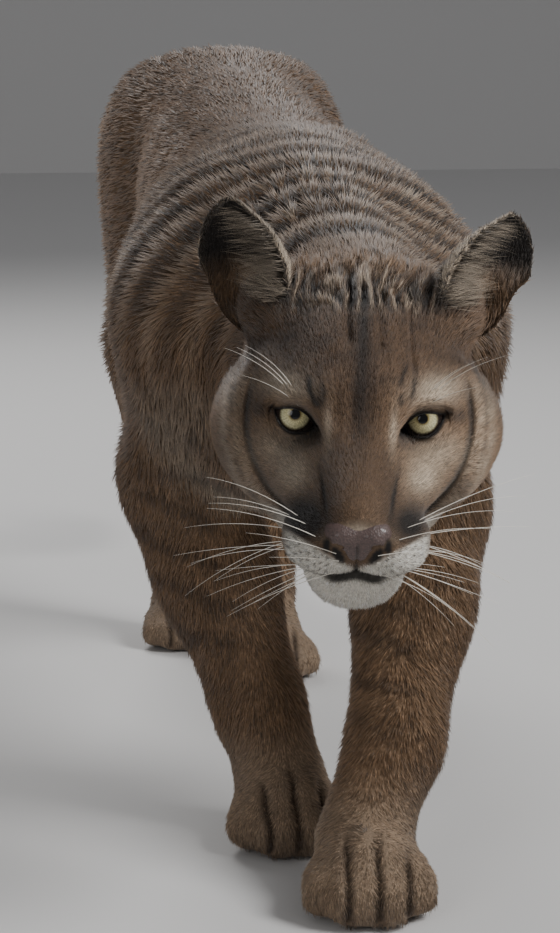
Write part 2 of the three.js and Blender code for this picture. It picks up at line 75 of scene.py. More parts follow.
# %% The head's own frame
HEAD_PITCH, HEAD_YAW, HEAD_ROLL = 25, -8, 2.5
HEAD_SIZE = 1.06
EYE_SPACING = 0.088
EYE_DEPTH = -0.008


def middle_of(node):
    low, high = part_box(node)
    return (low + high) / 2


def turned(pitch, roll, yaw):
    about_x = Matrix.Rotation(math.radians(pitch), 3, "X")
    about_y = Matrix.Rotation(math.radians(roll), 3, "Y")
    about_z = Matrix.Rotation(math.radians(yaw), 3, "Z")
    return about_z @ about_x @ about_y


head_turn = turned(HEAD_PITCH, HEAD_ROLL, HEAD_YAW)
eye_middle = (middle_of("eye_left") + middle_of("eye_right")) / 2
head_origin = eye_middle - head_turn @ Vector((0, -EYE_DEPTH * HEAD_SIZE, 0))
eye_line = head_turn.inverted() @ (middle_of("eye_left") - middle_of("eye_right"))
print("eye line in the head's frame (should run along X):", [round(v, 4) for v in eye_line])
TURN = np.array(head_turn)
ORIGIN = np.array(head_origin)


def to_head(points):
    """World points as (side, forward, up) on the head, in head sizes."""
    local = (points - ORIGIN) @ TURN / HEAD_SIZE
    return local * (1, -1, 1)


def from_head(side, forward, up):
    local = np.stack(np.broadcast_arrays(side, -np.asarray(forward), up), axis=-1)
    return local * HEAD_SIZE @ TURN.T + ORIGIN


# %% [markdown]
# ## Camera
# The camera looks slightly down at the face from in front, a little to the animal's right. A long
# lens keeps the head and the rump in the proportions of the picture. The lens is shifted, so that
# the eyes land where the picture has them.

# %% Camera
AZIMUTH, ELEVATION = -8.5, 8.6
CAMERA_DISTANCE = 1.95
LENS = 103
SENSOR_HEIGHT = 36
PHOTO_WIDTH, PHOTO_HEIGHT = 560, 933
EYES_ACROSS, EYES_DOWN = 359 / PHOTO_WIDTH, 416.5 / PHOTO_HEIGHT


def aim(target, azimuth, elevation, distance):
    a, e = math.radians(azimuth), math.radians(elevation)
    back = Vector((math.sin(a) * math.cos(e), -math.cos(a) * math.cos(e), math.sin(e)))
    return target + back * distance, (-back).to_track_quat("-Z", "Y")


camera_data = bpy.data.cameras.new("camera")
camera = bpy.data.objects.new("camera", camera_data)
bpy.context.scene.collection.objects.link(camera)
camera.rotation_mode = "QUATERNION"
camera.location, camera.rotation_quaternion = aim(eye_middle, AZIMUTH, ELEVATION, CAMERA_DISTANCE)
camera_data.lens = LENS
camera_data.sensor_fit = "VERTICAL"
camera_data.sensor_height = SENSOR_HEIGHT
camera_data.shift_x = (0.5 - EYES_ACROSS) * PHOTO_WIDTH / PHOTO_HEIGHT
camera_data.shift_y = EYES_DOWN - 0.5
bpy.context.scene.camera = camera
print("camera at:", [round(v, 2) for v in camera.location])

# %% [markdown]
# ## Floor and lights
# The floor is one plain pale square whose back edge is drawn up into a leaning wall, so that nothing
# empty shows behind the animal. A large disc of light makes soft shadows, and three are enough: one
# high on a side to model the form, a weak one to open the shadows, and one behind for the outline.

# %% Floor and lights
FLOOR_REACH = 9
WALL_LEAN, WALL_HEIGHT = 3, 9
FLOOR_COLOUR = (0.6, 0.59, 0.58)
LIGHTS_FACE = Vector((0, -0.3, 0.3))
STUDIO_COLOUR, STUDIO_STRENGTH = (0.86, 0.87, 0.9, 1), 0.28


def plain_material(name, colour, roughness):
    material = bpy.data.materials.new(name)
    material.use_nodes = True
    shader = material.node_tree.nodes["Principled BSDF"]
    shader.inputs["Base Color"].default_value = (*colour, 1)
    shader.inputs["Roughness"].default_value = roughness
    return material


def make_floor():
    mesh = bpy.data.meshes.new("floor")
    bm = bmesh.new()
    bmesh.ops.create_grid(bm, x_segments=1, y_segments=1, size=FLOOR_REACH)
    back = [e for e in bm.edges if all(v.co.y > FLOOR_REACH - 1 for v in e.verts)]
    raised = bmesh.ops.extrude_edge_only(bm, edges=back)["geom"]
    wall = [v for v in raised if isinstance(v, bmesh.types.BMVert)]
    bmesh.ops.translate(bm, verts=wall, vec=(0, WALL_LEAN, WALL_HEIGHT))
    bm.to_mesh(mesh)
    bm.free()
    floor = bpy.data.objects.new("floor", mesh)
    bpy.context.scene.collection.objects.link(floor)
    mesh.materials.append(plain_material("floor", FLOOR_COLOUR, 0.9))
    floor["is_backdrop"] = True


def add_light(name, place, size, power):
    data = bpy.data.lights.new(name, "AREA")
    data.shape = "DISK"
    data.size = size
    data.energy = power
    light = bpy.data.objects.new(name, data)
    light.location = place
    light.rotation_mode = "QUATERNION"
    light.rotation_quaternion = (Vector(place) - LIGHTS_FACE).to_track_quat("Z", "Y")
    bpy.context.scene.collection.objects.link(light)


make_floor()
add_light("key", (2.3, -1.9, 2.5), 1.5, 125)
add_light("fill", (-2.0, -3.2, 1.3), 1.8, 22)
add_light("rim", (-0.6, 2.6, 2.8), 1.6, 75)
world = bpy.data.worlds.new("studio")
bpy.context.scene.world = world
world.use_nodes = True
background = world.node_tree.nodes["Background"]
background.inputs["Color"].default_value = STUDIO_COLOUR
background.inputs["Strength"].default_value = STUDIO_STRENGTH

# %% [markdown]
# ## One skin over the flesh
# The frame parts the animal into nodes with thin cuts. A living skin has no such seams, so copies of
# the flesh nodes are swollen by a hair, so that they overlap across the cuts, and remeshed into one
# closed surface. The eyes and the nose pad go in too, so that the sockets don't leave pits.

# %% One skin over the flesh
VOXEL = 0.0047
OVERLAP = 0.0008
EARS = ("ear_left", "ear_right")
PIECES_OF_THEIR_OWN = ("nose", "eye_left", "eye_right")
FLESH = [name for name in sorted(nodes) if name not in PIECES_OF_THEIR_OWN]


def new_object(name, mesh):
    made = bpy.data.objects.new(name, mesh)
    bpy.context.scene.collection.objects.link(made)
    return made


def joined_copy(name, sources, swell):
    """The nodes' merged copies in one mesh, each swollen outwards."""
    bm = bmesh.new()
    for source in sources:
        part = bmesh.new()
        part.from_mesh(nodes[source].data)
        bmesh.ops.remove_doubles(part, verts=part.verts, dist=1e-6)
        part.normal_update()
        for v in part.verts:
            v.co += v.normal * swell
        mesh = bpy.data.meshes.new("part")
        part.to_mesh(mesh)
        part.free()
        bm.from_mesh(mesh)
        bpy.data.meshes.remove(mesh)
    mesh = bpy.data.meshes.new(name)
    bm.to_mesh(mesh)
    bm.free()
    return new_object(name, mesh)


def with_modifiers_applied(made):
    graph = bpy.context.evaluated_depsgraph_get()
    mesh = bpy.data.meshes.new_from_object(made.evaluated_get(graph))
    old = made.data
    made.modifiers.clear()
    made.data = mesh
    bpy.data.meshes.remove(old)
    mesh.name = made.name


def remeshed(made, voxel):
    remesh = made.modifiers.new("one surface", "REMESH")
    remesh.mode = "VOXEL"
    remesh.voxel_size = voxel
    with_modifiers_applied(made)


skin = joined_copy("skin", [n for n in sorted(nodes) if n not in EARS], OVERLAP)
remeshed(skin, VOXEL)
print("skin:", len(skin.data.vertices), "vertices")

# %% [markdown]
# ## Smoothing the facets away
# The solids are faceted, and each facet would shine through the coat. Averaging every vertex with
# its neighbours many times rounds them off. The face and the paws are small forms that would melt,
# so a weight that depends on the place holds them back.


# %% Smoothing the facets away
PULL_IN, SWELL_BACK = 0.62, 0.56
SKIN_ROUNDS = 46
HELD_BACK = 0.75


def read(mesh):
    points = np.empty(len(mesh.vertices) * 3)
    mesh.vertices.foreach_get("co", points)
    return points.reshape(-1, 3)


def write(mesh, points):
    mesh.vertices.foreach_set("co", points.ravel())
    mesh.update()


def edges_of(mesh):
    ends = np.empty(len(mesh.edges) * 2, np.int64)
    mesh.edges.foreach_get("vertices", ends)
    return ends.reshape(-1, 2)


def normals_of(mesh):
    normals = np.empty(len(mesh.vertices) * 3, np.float32)
    mesh.vertex_normals.foreach_get("vector", normals)
    return normals.reshape(-1, 3).astype(float)


def averaged(values, ends, count):
    total = np.zeros_like(values)
    for column in range(values.shape[1]):
        total[:, column] = np.bincount(ends[:, 0], values[ends[:, 1], column], count)
        total[:, column] += np.bincount(ends[:, 1], values[ends[:, 0], column], count)
    share = np.bincount(ends.ravel(), minlength=count)
    return total / np.maximum(share, 1)[:, None]


def smoothed(points, ends, weight, rounds):
    """Averages, with a swell back after each round so that limbs don't shrink."""
    for _ in range(rounds):
        points = points + (averaged(points, ends, len(points)) - points) * weight[:, None] * PULL_IN
        points = points - (averaged(points, ends, len(points)) - points) * weight[:, None] * SWELL_BACK
    return points


def ramp(value, start, end):
    t = np.clip((value - start) / (end - start), 0, 1)
    return t * t * (3 - 2 * t)


def near_head(points):
    """1 on the face and skull, falling to 0 along the neck."""
    _, forward, up = to_head(points).T
    return ramp(forward, -0.15, -0.08) * ramp(up, -0.15, -0.12)


def near_paws(points):
    """1 on the four paws, falling to 0 above the ankle."""
    return 1 - ramp(points[:, 2], 0.06, 0.11)


points = read(skin.data)
ends = edges_of(skin.data)
soft = 1 - HELD_BACK * np.maximum(near_head(points), near_paws(points))
points = smoothed(points, ends, soft, SKIN_ROUNDS)
print("smoothed in", SKIN_ROUNDS, "rounds")

# %% [markdown]
# ## Room for the coat
# The solids reach to the tips of the hair, so the skin lies inside them by the coat's depth: about
# 2 mm on the face and the feet, and up to 5 mm on the body. The vertices move in along their
# normals, in a few steps with a little smoothing between, so that they don't cross.

# %% Room for the coat
FACE_COAT, PAW_COAT, HEAD_COAT, BODY_COAT = 0.0015, 0.002, 0.0035, 0.005
LEG_COAT = 0.0035
DRAW_STEPS = 4
FLOOR_GAP = 0.0006


def coat_depth(points):
    on_face = ramp(to_head(points)[:, 1], -0.07, 0.0)
    depth = BODY_COAT + (HEAD_COAT - BODY_COAT) * near_head(points)
    depth = depth + (FACE_COAT - depth) * on_face * near_head(points)
    leg = 1 - ramp(points[:, 2], 0.1, 0.32)
    depth = depth + (LEG_COAT - depth) * leg * (1 - near_head(points))
    return depth + (PAW_COAT - depth) * near_paws(points)


write(skin.data, points)
for _ in range(DRAW_STEPS):
    points = read(skin.data)
    points = points - normals_of(skin.data) * (coat_depth(points) / DRAW_STEPS)[:, None]
    points = smoothed(points, ends, soft, 2)
    write(skin.data, points)
points = read(skin.data)
points[:, 2] = np.maximum(points[:, 2], FLOOR_GAP)
write(skin.data, points)
print("drawn in, lowest point:", round(float(points[:, 2].min()), 4))

# %% [markdown]
# ## Finer mesh where the face has detail
# A subdivision of the whole skin would waste triangles on the flank. Only the faces on the front of
# the head and on the paws are cut finer, and the new vertices are smoothed onto the old curve.


# %% Finer mesh where the face has detail
TOE_HEIGHT = 0.075
EYE_PATCH_SIDE, EYE_PATCH_UP = 0.028, 0.026


def refined(made, chosen):
    bm = bmesh.new()
    bm.from_mesh(made.data)
    bm.verts.ensure_lookup_table()
    picked = set(np.flatnonzero(chosen))
    edges = [e for e in bm.edges if e.verts[0].index in picked and e.verts[1].index in picked]
    bmesh.ops.subdivide_edges(bm, edges=edges, cuts=1, use_grid_fill=True)
    bmesh.ops.triangulate(bm, faces=[f for f in bm.faces if len(f.verts) > 4])
    bm.to_mesh(made.data)
    bm.free()


def on_front(points):
    _, forward, up = to_head(points).T
    return (forward > -0.1) & (up > -0.12) & (up < 0.11)


def on_toes(points):
    return points[:, 2] < TOE_HEIGHT


def wants_detail(points):
    return on_front(points) | on_toes(points)


refined(skin, wants_detail(read(skin.data)))
points = read(skin.data)
ends = edges_of(skin.data)
write(skin.data, smoothed(points, ends, wants_detail(points) * 1.0, 5))
side, forward, up = to_head(read(skin.data)).T
beside_eye = np.abs(np.abs(side) - EYE_SPACING / 2)
refined(skin, (beside_eye < EYE_PATCH_SIDE) & (np.abs(up) < EYE_PATCH_UP) & (forward > -0.02))
print("skin:", len(skin.data.vertices), "vertices")

# %% [markdown]
# ## Measures of the face
# Relief and colour both need to know where the mouth runs and where the cheek folds. Each is a small
# function of the place on the head, so the groove in the skin and the dark colour in it always meet:
# black lips along the mouth, and painted shade in the crease of the cheek fold.
# Folds that a portrait shows as curves are measured in the plane of the portrait.

# %% Measures of the face
MOUTH_HEIGHT = -0.066
VIEW_LEAN = math.radians(HEAD_PITCH + ELEVATION)
DISC_HEIGHT = 0.02
FOLD_REACH, FOLD_SPREAD = 0.0765, 0.00031


def bump(*offsets):
    """A round bump of height 1: each offset is a distance over its own radius."""
    return np.exp(-sum(o * o for o in offsets))


def mouth_line(side, forward):
    """How far up a point is above the line of the mouth, which dips under each whisker pad."""
    dip = 0.0045 * bump((np.abs(side) - 0.015) / 0.011) - 0.003 * ramp(np.abs(side), 0.022, 0.04)
    return MOUTH_HEIGHT + 0.1 * (forward - 0.06) - dip


def face_plane(points):
    """Distance from the midline and height, as a portrait taken face-on shows them."""
    side, forward, up = to_head(points).T
    return np.abs(side), up * math.cos(VIEW_LEAN) - forward * math.sin(VIEW_LEAN)


def cheek_fold(points):
    """Distance outside the fold that rings the cheek, and how strongly the fold shows."""
    s, v = face_plane(points)
    angle = np.degrees(np.arctan2(DISC_HEIGHT - v, s))
    outside = np.hypot(s, v - DISC_HEIGHT) - (FOLD_REACH + FOLD_SPREAD * angle)
    forward = to_head(points)[:, 1]
    shown = ramp(angle, -18, 4) * ramp(64 - angle, 0, 8)
    return outside, shown * near_head(points) * ramp(forward, -0.11, -0.08)


def tear_line(s, up, width, height):
    """1 in the crease that runs down from the inner corner of each eye, falling to 0 beside it."""
    return bump((s - 0.0255 + 0.3 * (-0.01 - up)) / width, (up + 0.015) / height)


middle_of_mouth = mouth_line(np.zeros(1), np.full(1, 0.08))[0]
print("the mouth lies", round(-float(middle_of_mouth) * HEAD_SIZE * 1000), "mm below the eyes")

# %% [markdown]
# ## Folds that wander
# Loose skin folds in waves that are nearly regular, and never quite. A plain wave of the distance
# gives the rhythm, and a few crossing waves, drawn with a seed, push it off its line. The same wave
# shapes the skin and later paints shade into the creases and a highlight onto the crests.

# %% Folds that wander
CROWN_PLEAT = 0.0125
NECK_RING = 0.03


def wander(points, size, seed):
    """A smooth wavering value, mostly between -1 and 1, from waves that run across each other."""
    draw = np.random.default_rng(seed)
    total = np.zeros(len(points))
    for step in range(6):
        way = draw.normal(size=3)
        way /= np.linalg.norm(way)
        total += np.sin(points @ way * 2 * math.pi / (size * (0.6 + 0.25 * step)) + draw.uniform(0, 6.3))
    return total / 3.2


def crown_folds(points):
    """The puckered skin between the ears: a wave from -1 in a crease to 1, and where it shows."""
    s, v = face_plane(points)
    bend = 0.011 * wander(points, 0.045, 61)
    wave = np.sin((s + bend) * 2 * math.pi / CROWN_PLEAT + 1.6 * wander(points, 0.03, 62))
    shown = ramp(v, 0.074, 0.086) * ramp(0.15 - v, 0, 0.02) * ramp(0.066 - s, 0, 0.02)
    return wave, shown * near_head(points)


def neck_bands(points):
    """The rings of loose skin behind the head: a wave from -1 to 1, and where it shows."""
    away = np.linalg.norm(points - ORIGIN, axis=1)
    wave = np.sin(away * 2 * math.pi / NECK_RING + 1.2 * wander(points, 0.14, 63))
    along = ramp(away, 0.12, 0.16) * ramp(0.56 - away, 0, 0.3)
    return wave, along * ramp(points[:, 2], 0.35, 0.52) * (1 - 0.8 * near_head(points))


print("vertices in the rings of the neck:", int((neck_bands(read(skin.data))[1] > 0.5).sum()))

# %% [markdown]
# ## Toes
# A paw has four toes with three clefts between them. They run forwards over the front of the paw, so
# each is a narrow bump in a frame that is turned with the paw's own heading.

# %% Toes
PAWS = [
    ("foreleg_left_paw", -6, 0.1),
    ("foreleg_right_paw", 3, 0.1),
    ("hindleg_left_paw", -4, 0.088),
    ("hindleg_right_paw", 4, 0.088),
]
FOREPAW_WIDTH = 0.1
TOE_REACH = 0.066
TOE_GAPS = (-0.0235, 0.0, 0.0235)
CLEFT_WIDTH = 0.0034


def toe_clefts(points):
    """1 in the clefts between the toes of each paw, falling to 0 beside them."""
    cleft = np.zeros(len(points))
    for node, heading, width in PAWS:
        low, high = (np.array(corner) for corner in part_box(node))
        size = width / FOREPAW_WIDTH
        turn = math.radians(heading)
        x = points[:, 0] - (low[0] + high[0]) / 2
        y = points[:, 1] - (low[1] + TOE_REACH * size)
        side = (x * math.cos(turn) + y * math.sin(turn)) / size
        forward = (x * math.sin(turn) - y * math.cos(turn)) / size
        near = ramp(0.07 - np.abs(side), 0, 0.01) * ramp(0.09 - np.hypot(x, y), 0, 0.01)
        lines = sum(bump((side - place) / CLEFT_WIDTH) for place in TOE_GAPS)
        near = near * ramp(forward, 0.002, 0.03) * ramp(points[:, 2], 0.004, 0.01)
        cleft = np.maximum(cleft, lines * near)
    return cleft


print("vertices in the clefts of the toes:", int((toe_clefts(read(skin.data)) > 0.5).sum()))

# %% [markdown]
# ## Relief of the face and the body
# The forms that the coarse skin lacks are pushed and pulled along the normals, as a sculptor works in
# clay. Each one is a bump or a groove at a place on the head: the frowning brow, the furrows between
# the brows, the whisker pads, the groove under the nose and the line of the mouth. On the body they
# are the rings of the neck, the soft unevenness of muscle and the toes.

# %% Relief of the face and the body
BROW_HEIGHT, BROW_RISE = 0.015, 0.32
FURROW = 0.011
PAD_SIDE, PAD_FORWARD, PAD_HEIGHT = 0.022, 0.074, -0.05
MOUTH_HALF_WIDTH = 0.04


def face_relief(points):
    side, forward, up = to_head(points).T
    s = np.abs(side)
    front = ramp(forward, -0.07, -0.03)
    brow_line = BROW_HEIGHT + BROW_RISE * (s - 0.02)
    relief = 0.0032 * bump((up - brow_line) / 0.0065, (s - 0.043) / 0.024) * front
    furrows = 0.0008 * np.cos(side * 2 * math.pi / FURROW)
    relief += furrows * bump(side / 0.012, (up - 0.03) / 0.016) * front
    wave, shown = crown_folds(points)
    relief += 0.0028 * wave * shown
    outside, shown = cheek_fold(points)
    relief += (0.003 * bump((outside - 0.009) / 0.006) - 0.0026 * bump(outside / 0.0026)) * shown
    pad = bump((s - PAD_SIDE) / 0.014, (forward - PAD_FORWARD) / 0.018, (up - PAD_HEIGHT) / 0.012)
    relief += 0.0034 * pad
    relief += 0.002 * bump((s - 0.058) / 0.014, (up + 0.012) / 0.01) * front
    above = up - mouth_line(side, forward)
    mouth = ramp(forward, 0.03, 0.05) * ramp(MOUTH_HALF_WIDTH + 0.006 - s, 0, 0.006)
    relief -= 0.0052 * bump(above / 0.0019) * mouth
    relief += 0.0016 * bump((above + 0.005) / 0.003) * mouth
    philtrum = bump(side / 0.0016) * ramp(forward, 0.06, 0.075)
    philtrum *= ramp(above, 0, 0.002) * ramp(-0.045 - up, 0, 0.004)
    relief -= 0.003 * philtrum
    return relief - 0.0013 * (tear_line(s, up, 0.002, 0.008) * front)


def body_relief(points):
    wave, shown = neck_bands(points)
    muscles = 0.0012 * wander(points, 0.11, 71) * (1 - near_head(points)) * (1 - near_paws(points))
    return 0.0011 * wave * shown + muscles - 0.0045 * toe_clefts(points)


points = read(skin.data)
relief = face_relief(points) * near_head(points) + body_relief(points)
write(skin.data, points + normals_of(skin.data) * relief[:, None])
print("relief in mm:", round(float(relief.min()) * 1000, 1), round(float(relief.max()) * 1000, 1))

# %% [markdown]
# ## Eye openings and lids
# A lid is skin that hugs the ball, so it can't be only a hole. Around each eye the skin is measured
# in a frame that looks out through the opening. Inside the almond it drops behind the ball's surface,
# and just outside it the skin is drawn down to a lid's thickness over the ball.

# %% Eye openings and lids
EYE_RADIUS = 0.0166
EYE_TILT, EYE_LIFT = math.radians(21), math.radians(17)
LID_HALF_WIDTH, LID_UP, LID_DOWN = 0.0165, 0.0088, 0.0098
LID_THICKNESS = 0.0019
SUNK_BEHIND_BALL = 0.0022
LID_REACH, LID_FADE = 0.024, 0.0065


def sided(stem, side):
    return stem + ("_left" if side > 0 else "_right")


def opening_frame(side):
    """Rows: outwards, up and forward, as seen through the opening of one eye."""
    tilt_x, tilt_up = math.cos(EYE_TILT), math.sin(EYE_TILT)
    lift_y, lift_up = math.sin(EYE_LIFT), math.cos(EYE_LIFT)
    out = (side * tilt_x, tilt_up * lift_y, tilt_up * lift_up)
    upward = (-side * tilt_up, tilt_x * lift_y, tilt_x * lift_up)
    forward = (0, -lift_up, lift_y)
    return np.array([out, upward, forward]) @ TURN.T


def eye_centre(side):
    return np.array(middle_of(sided("eye", side)))


def seen_through(points, side):
    return ((points - eye_centre(side)) @ opening_frame(side).T).T


def inside_lids(across, high):
    """Distance inside the almond's edge, negative outside it."""
    lens = 1 - (across / LID_HALF_WIDTH) ** 2
    return np.minimum(LID_UP * lens - high, high + LID_DOWN * lens)


def on_ball(across, high, radius):
    return np.sqrt(np.maximum(radius**2 - across**2 - high**2, 1e-8))


def open_eye(points, side):
    across, high, out = seen_through(points, side)
    near = (out > 0) & (across**2 + high**2 < LID_REACH**2)
    inside = inside_lids(across, high)
    ball = on_ball(across, high, EYE_RADIUS - SUNK_BEHIND_BALL)
    lid = on_ball(across, high, EYE_RADIUS + LID_THICKNESS)
    hug = bump(np.minimum(inside, 0) / LID_FADE) * ramp(LID_REACH - np.hypot(across, high), 0, 0.006)
    target = np.where(inside > 0.0004, ball, out + (lid - out) * hug)
    out = np.where(near, target, out)
    return np.stack([across, high, out], axis=1) @ opening_frame(side) + eye_centre(side)


points = read(skin.data)
for side in (1, -1):
    points = open_eye(points, side)
write(skin.data, points)
print("openings in mm:", round(2 * LID_HALF_WIDTH * 1000), "by", round((LID_UP + LID_DOWN) * 1000, 1))

# %% [markdown]
# ## Ears
# The cups of the ears are too thin for the coarse remesh, so they keep the frame's own shape. A
# merged copy of each is rounded by a subdivision surface, and its root is pushed down into the skull,
# so that skin meets skin under the fur. The inner side is trimmed a little, and the two ears lean by
# angles of their own, because a cat seldom holds them alike. Both then join the skin.

# %% Ears
EAR_SIDE, EAR_RISE = 0.072, 0.05
EAR_SINK = 0.014
EAR_LENGTH, EAR_TRIM = 0.074, 0.011
EAR_LEAN = (15, 5)
EAR_TURN = math.radians(14)
EAR_THINNED = 0.0006


def make_ears():
    ears = joined_copy("ears", EARS, -EAR_THINNED)
    ears.modifiers.new("rounded", "SUBSURF").levels = 2
    ears.modifiers["rounded"].render_levels = 2
    with_modifiers_applied(ears)
    points = read(ears.data)
    side, forward, up = to_head(points).T
    low = ramp(EAR_RISE + 0.022 - up, 0, 0.02)
    side = side - np.sign(side) * low * EAR_SINK * 0.5
    up = up - low * EAR_SINK
    tall = np.clip((up - EAR_RISE) / EAR_LENGTH, 0, 1.1)
    inner = ramp(EAR_SIDE + 0.02 * tall - np.abs(side), -0.004, 0.026)
    up = up - EAR_TRIM * inner * tall
    side = side + np.sign(side) * 0.5 * EAR_TRIM * inner * tall
    lean = np.radians(np.where(side > 0, *EAR_LEAN)) * ramp(tall, 0.0, 0.35)
    beside, above = np.abs(side) - EAR_SIDE, up - EAR_RISE
    side = np.sign(side) * (EAR_SIDE + beside * np.cos(lean) + above * np.sin(lean))
    up = EAR_RISE - beside * np.sin(lean) + above * np.cos(lean)
    write(ears.data, from_head(side, forward, up))
    return ears


def join(into, others):
    bm = bmesh.new()
    bm.from_mesh(into.data)
    for other in others:
        bm.from_mesh(other.data)
        mesh = other.data
        bpy.data.objects.remove(other)
        bpy.data.meshes.remove(mesh)
    bmesh.ops.triangulate(bm, faces=bm.faces)
    bm.to_mesh(into.data)
    bm.free()


skin_vertices = len(skin.data.vertices)
join(skin, [make_ears()])
skin.data.shade_smooth()
print("skin with ears:", len(skin.data.vertices), "vertices,", len(skin.data.polygons), "triangles")

# %% [markdown]
# ## Where everything is on the coat
# The same few questions come back for the lie of the hair, its length and its colour: is this point
# on an ear, on a leg, on the tail? Each answer is a soft weight from 0 to 1.


# %% Where everything is on the coat
TAIL_LINE, TAIL_LINE_SLOPE, TAIL_ROOT_HEIGHT = 0.372, 0.16, 0.585


def on_ears(points):
    side, forward, up = to_head(points).T
    around = ramp(-forward, 0.03, 0.045) * ramp(forward, -0.13, -0.115)
    return around * ramp(up, 0.055, 0.07) * ramp(np.abs(side), 0.045, 0.055)


def on_legs(points):
    below = 1 - ramp(points[:, 2], 0.26, 0.36)
    return below * (1 - near_head(points)) * (1 - on_tail(points))


def on_tail(points):
    """The tail hangs behind a line from the rump down to the hind paws."""
    _, y, z = points.T
    line = TAIL_LINE + TAIL_LINE_SLOPE * (TAIL_ROOT_HEIGHT - z) * (z > 0.2)
    return ramp(y, 0.365, 0.395) * ramp(y - line, 0, 0.02)


# %% [markdown]
# ## Which way the hair lies
# Hair grows away from the nose over the whole head, back along the neck and trunk and a little down
# on the flanks, down the legs, forwards over the toes and along the tail. The directions are mixed by
# the weights above, laid flat on the skin, and let waver a little.


# %% Which way the hair lies
def lie_of_hair(points, normals):
    nose = from_head(0.0, 0.1, -0.034)
    away = points - nose
    away /= np.maximum(np.linalg.norm(away, axis=1), 1e-6)[:, None]
    back = np.array([0, 1, -0.32]) * np.ones_like(points)
    back[:, 0] = 0.25 * np.sign(points[:, 0]) * ramp(np.abs(points[:, 0]), 0.0, 0.1)
    down = np.array([0, 0.22, -1.0]) * np.ones_like(points)
    toes = np.array([0, -0.55, -1]) * np.ones_like(points)
    dangling = np.where(points[:, 2:] > 0.21, np.array([[0, 0.45, -0.9]]), np.array([[0.18, 1, 0.1]]))
    lie = back
    breast = ramp(-normals[:, 1], 0.1, 0.6) * ramp(0.5 - points[:, 2], 0, 0.12)
    for way, weight in (
        (down, np.maximum(on_legs(points), breast)),
        (away, near_head(points)),
        (toes, 1 - ramp(points[:, 2], 0.03, 0.06)),
        (dangling, on_tail(points)),
    ):
        lie = lie + (way - lie) * weight[:, None]
    ear = on_ears(points)[:, None]
    lie = lie + ((TURN @ np.array([0, 0.25, 1.0])) - lie) * ear
    drift = np.stack([wander(points, 0.05, seed) for seed in (3, 4, 5)], axis=1)
    lie = lie + drift * 0.16
    lie = lie - normals * np.sum(lie * normals, axis=1)[:, None]
    return lie / np.maximum(np.linalg.norm(lie, axis=1), 1e-6)[:, None]


# %% [markdown]
# ## Colours of the body
# A cougar is plain tawny, with a darker saddle, pale underparts, faint bars on the forelegs and a
# black end to the tail. The creases between the rings of the neck get painted shade and their crests a
# painted highlight, and the clefts between the toes get painted shade.
# The colours are worked out by place, and both the skin and every tuft of hair take theirs from the
# same functions.

# %% Colours of the body
TAWNY = (0.235, 0.142, 0.078)
SADDLE = (0.105, 0.061, 0.034)
PALE = (0.5, 0.41, 0.31)
WHITE = (0.8, 0.75, 0.66)
BROWN = (0.045, 0.027, 0.017)
BLACK = (0.009, 0.007, 0.006)
LEG_BAR = 0.034


def tinted(colour, target, weight):
    return colour + (np.array(target) - colour) * np.clip(weight, 0, 1)[:, None]


def body_colour(points, normals):
    x, y, z = points.T
    colour = np.tile(np.array(TAWNY), (len(points), 1))
    colour = tinted(colour, SADDLE, 0.65 * ramp(normals[:, 2], 0.1, 0.9) * ramp(z, 0.3, 0.5))
    under = ramp(-normals[:, 2], 0.25, 0.8) * ramp(z, 0.1, 0.2)
    colour = tinted(colour, PALE, 0.75 * under)
    # Painted shade in the creases between the neck's rings, and a painted highlight on their crests.
    wave, shown = neck_bands(points)
    broken = 0.8 + 0.2 * wander(points, 0.04, 12)
    colour = tinted(colour, BLACK, 0.95 * shown * ramp(-wave, -0.1, 0.6) * broken)
    colour = tinted(colour, PALE, 0.5 * shown * ramp(wave, 0.2, 1) * broken)
    streak = np.sin((z + 0.35 * x + 0.012 * wander(points, 0.09, 11)) * 2 * math.pi / LEG_BAR)
    foreleg = ramp(z, 0.1, 0.16) * ramp(0.42 - z, 0, 0.1) * ramp(-0.2 - y, 0, 0.05)
    inside = ramp(0.75 + 0.25 * wander(points, 0.06, 15) - np.abs(normals[:, 0] + 0.5), 0, 0.5)
    colour = tinted(colour, BROWN, 0.6 * foreleg * ramp(streak, 0.2, 1) * inside)
    mottle = wander(points, 0.035, 13) * 0.5 + wander(points, 0.012, 14) * 0.5
    colour = tinted(colour, BROWN, 0.3 * ramp(mottle, 0, 1.2))
    colour = tinted(colour, PALE, 0.3 * near_paws(points))
    # Painted shade in the clefts between the toes.
    colour = tinted(colour, BROWN, 0.85 * toe_clefts(points))
    colour = tinted(colour, BLACK, 0.9 * on_tail(points) * ramp(y, 0.66, 0.72))
    return tinted(colour, SADDLE, 0.6 * on_tail(points) * ramp(normals[:, 2], -0.3, 0.6))


print("the saddle is", round(sum(SADDLE) / sum(TAWNY), 2), "times as light as the flank")

# %% [markdown]
# ## Eyes' surrounds and brow
# The face is marked with great care: pale patches over and under the eyes, dark islands above their
# inner corners, and a dark line down the forehead that ends in the puckers between the ears. Each is
# a bump of colour in the plane of the portrait.


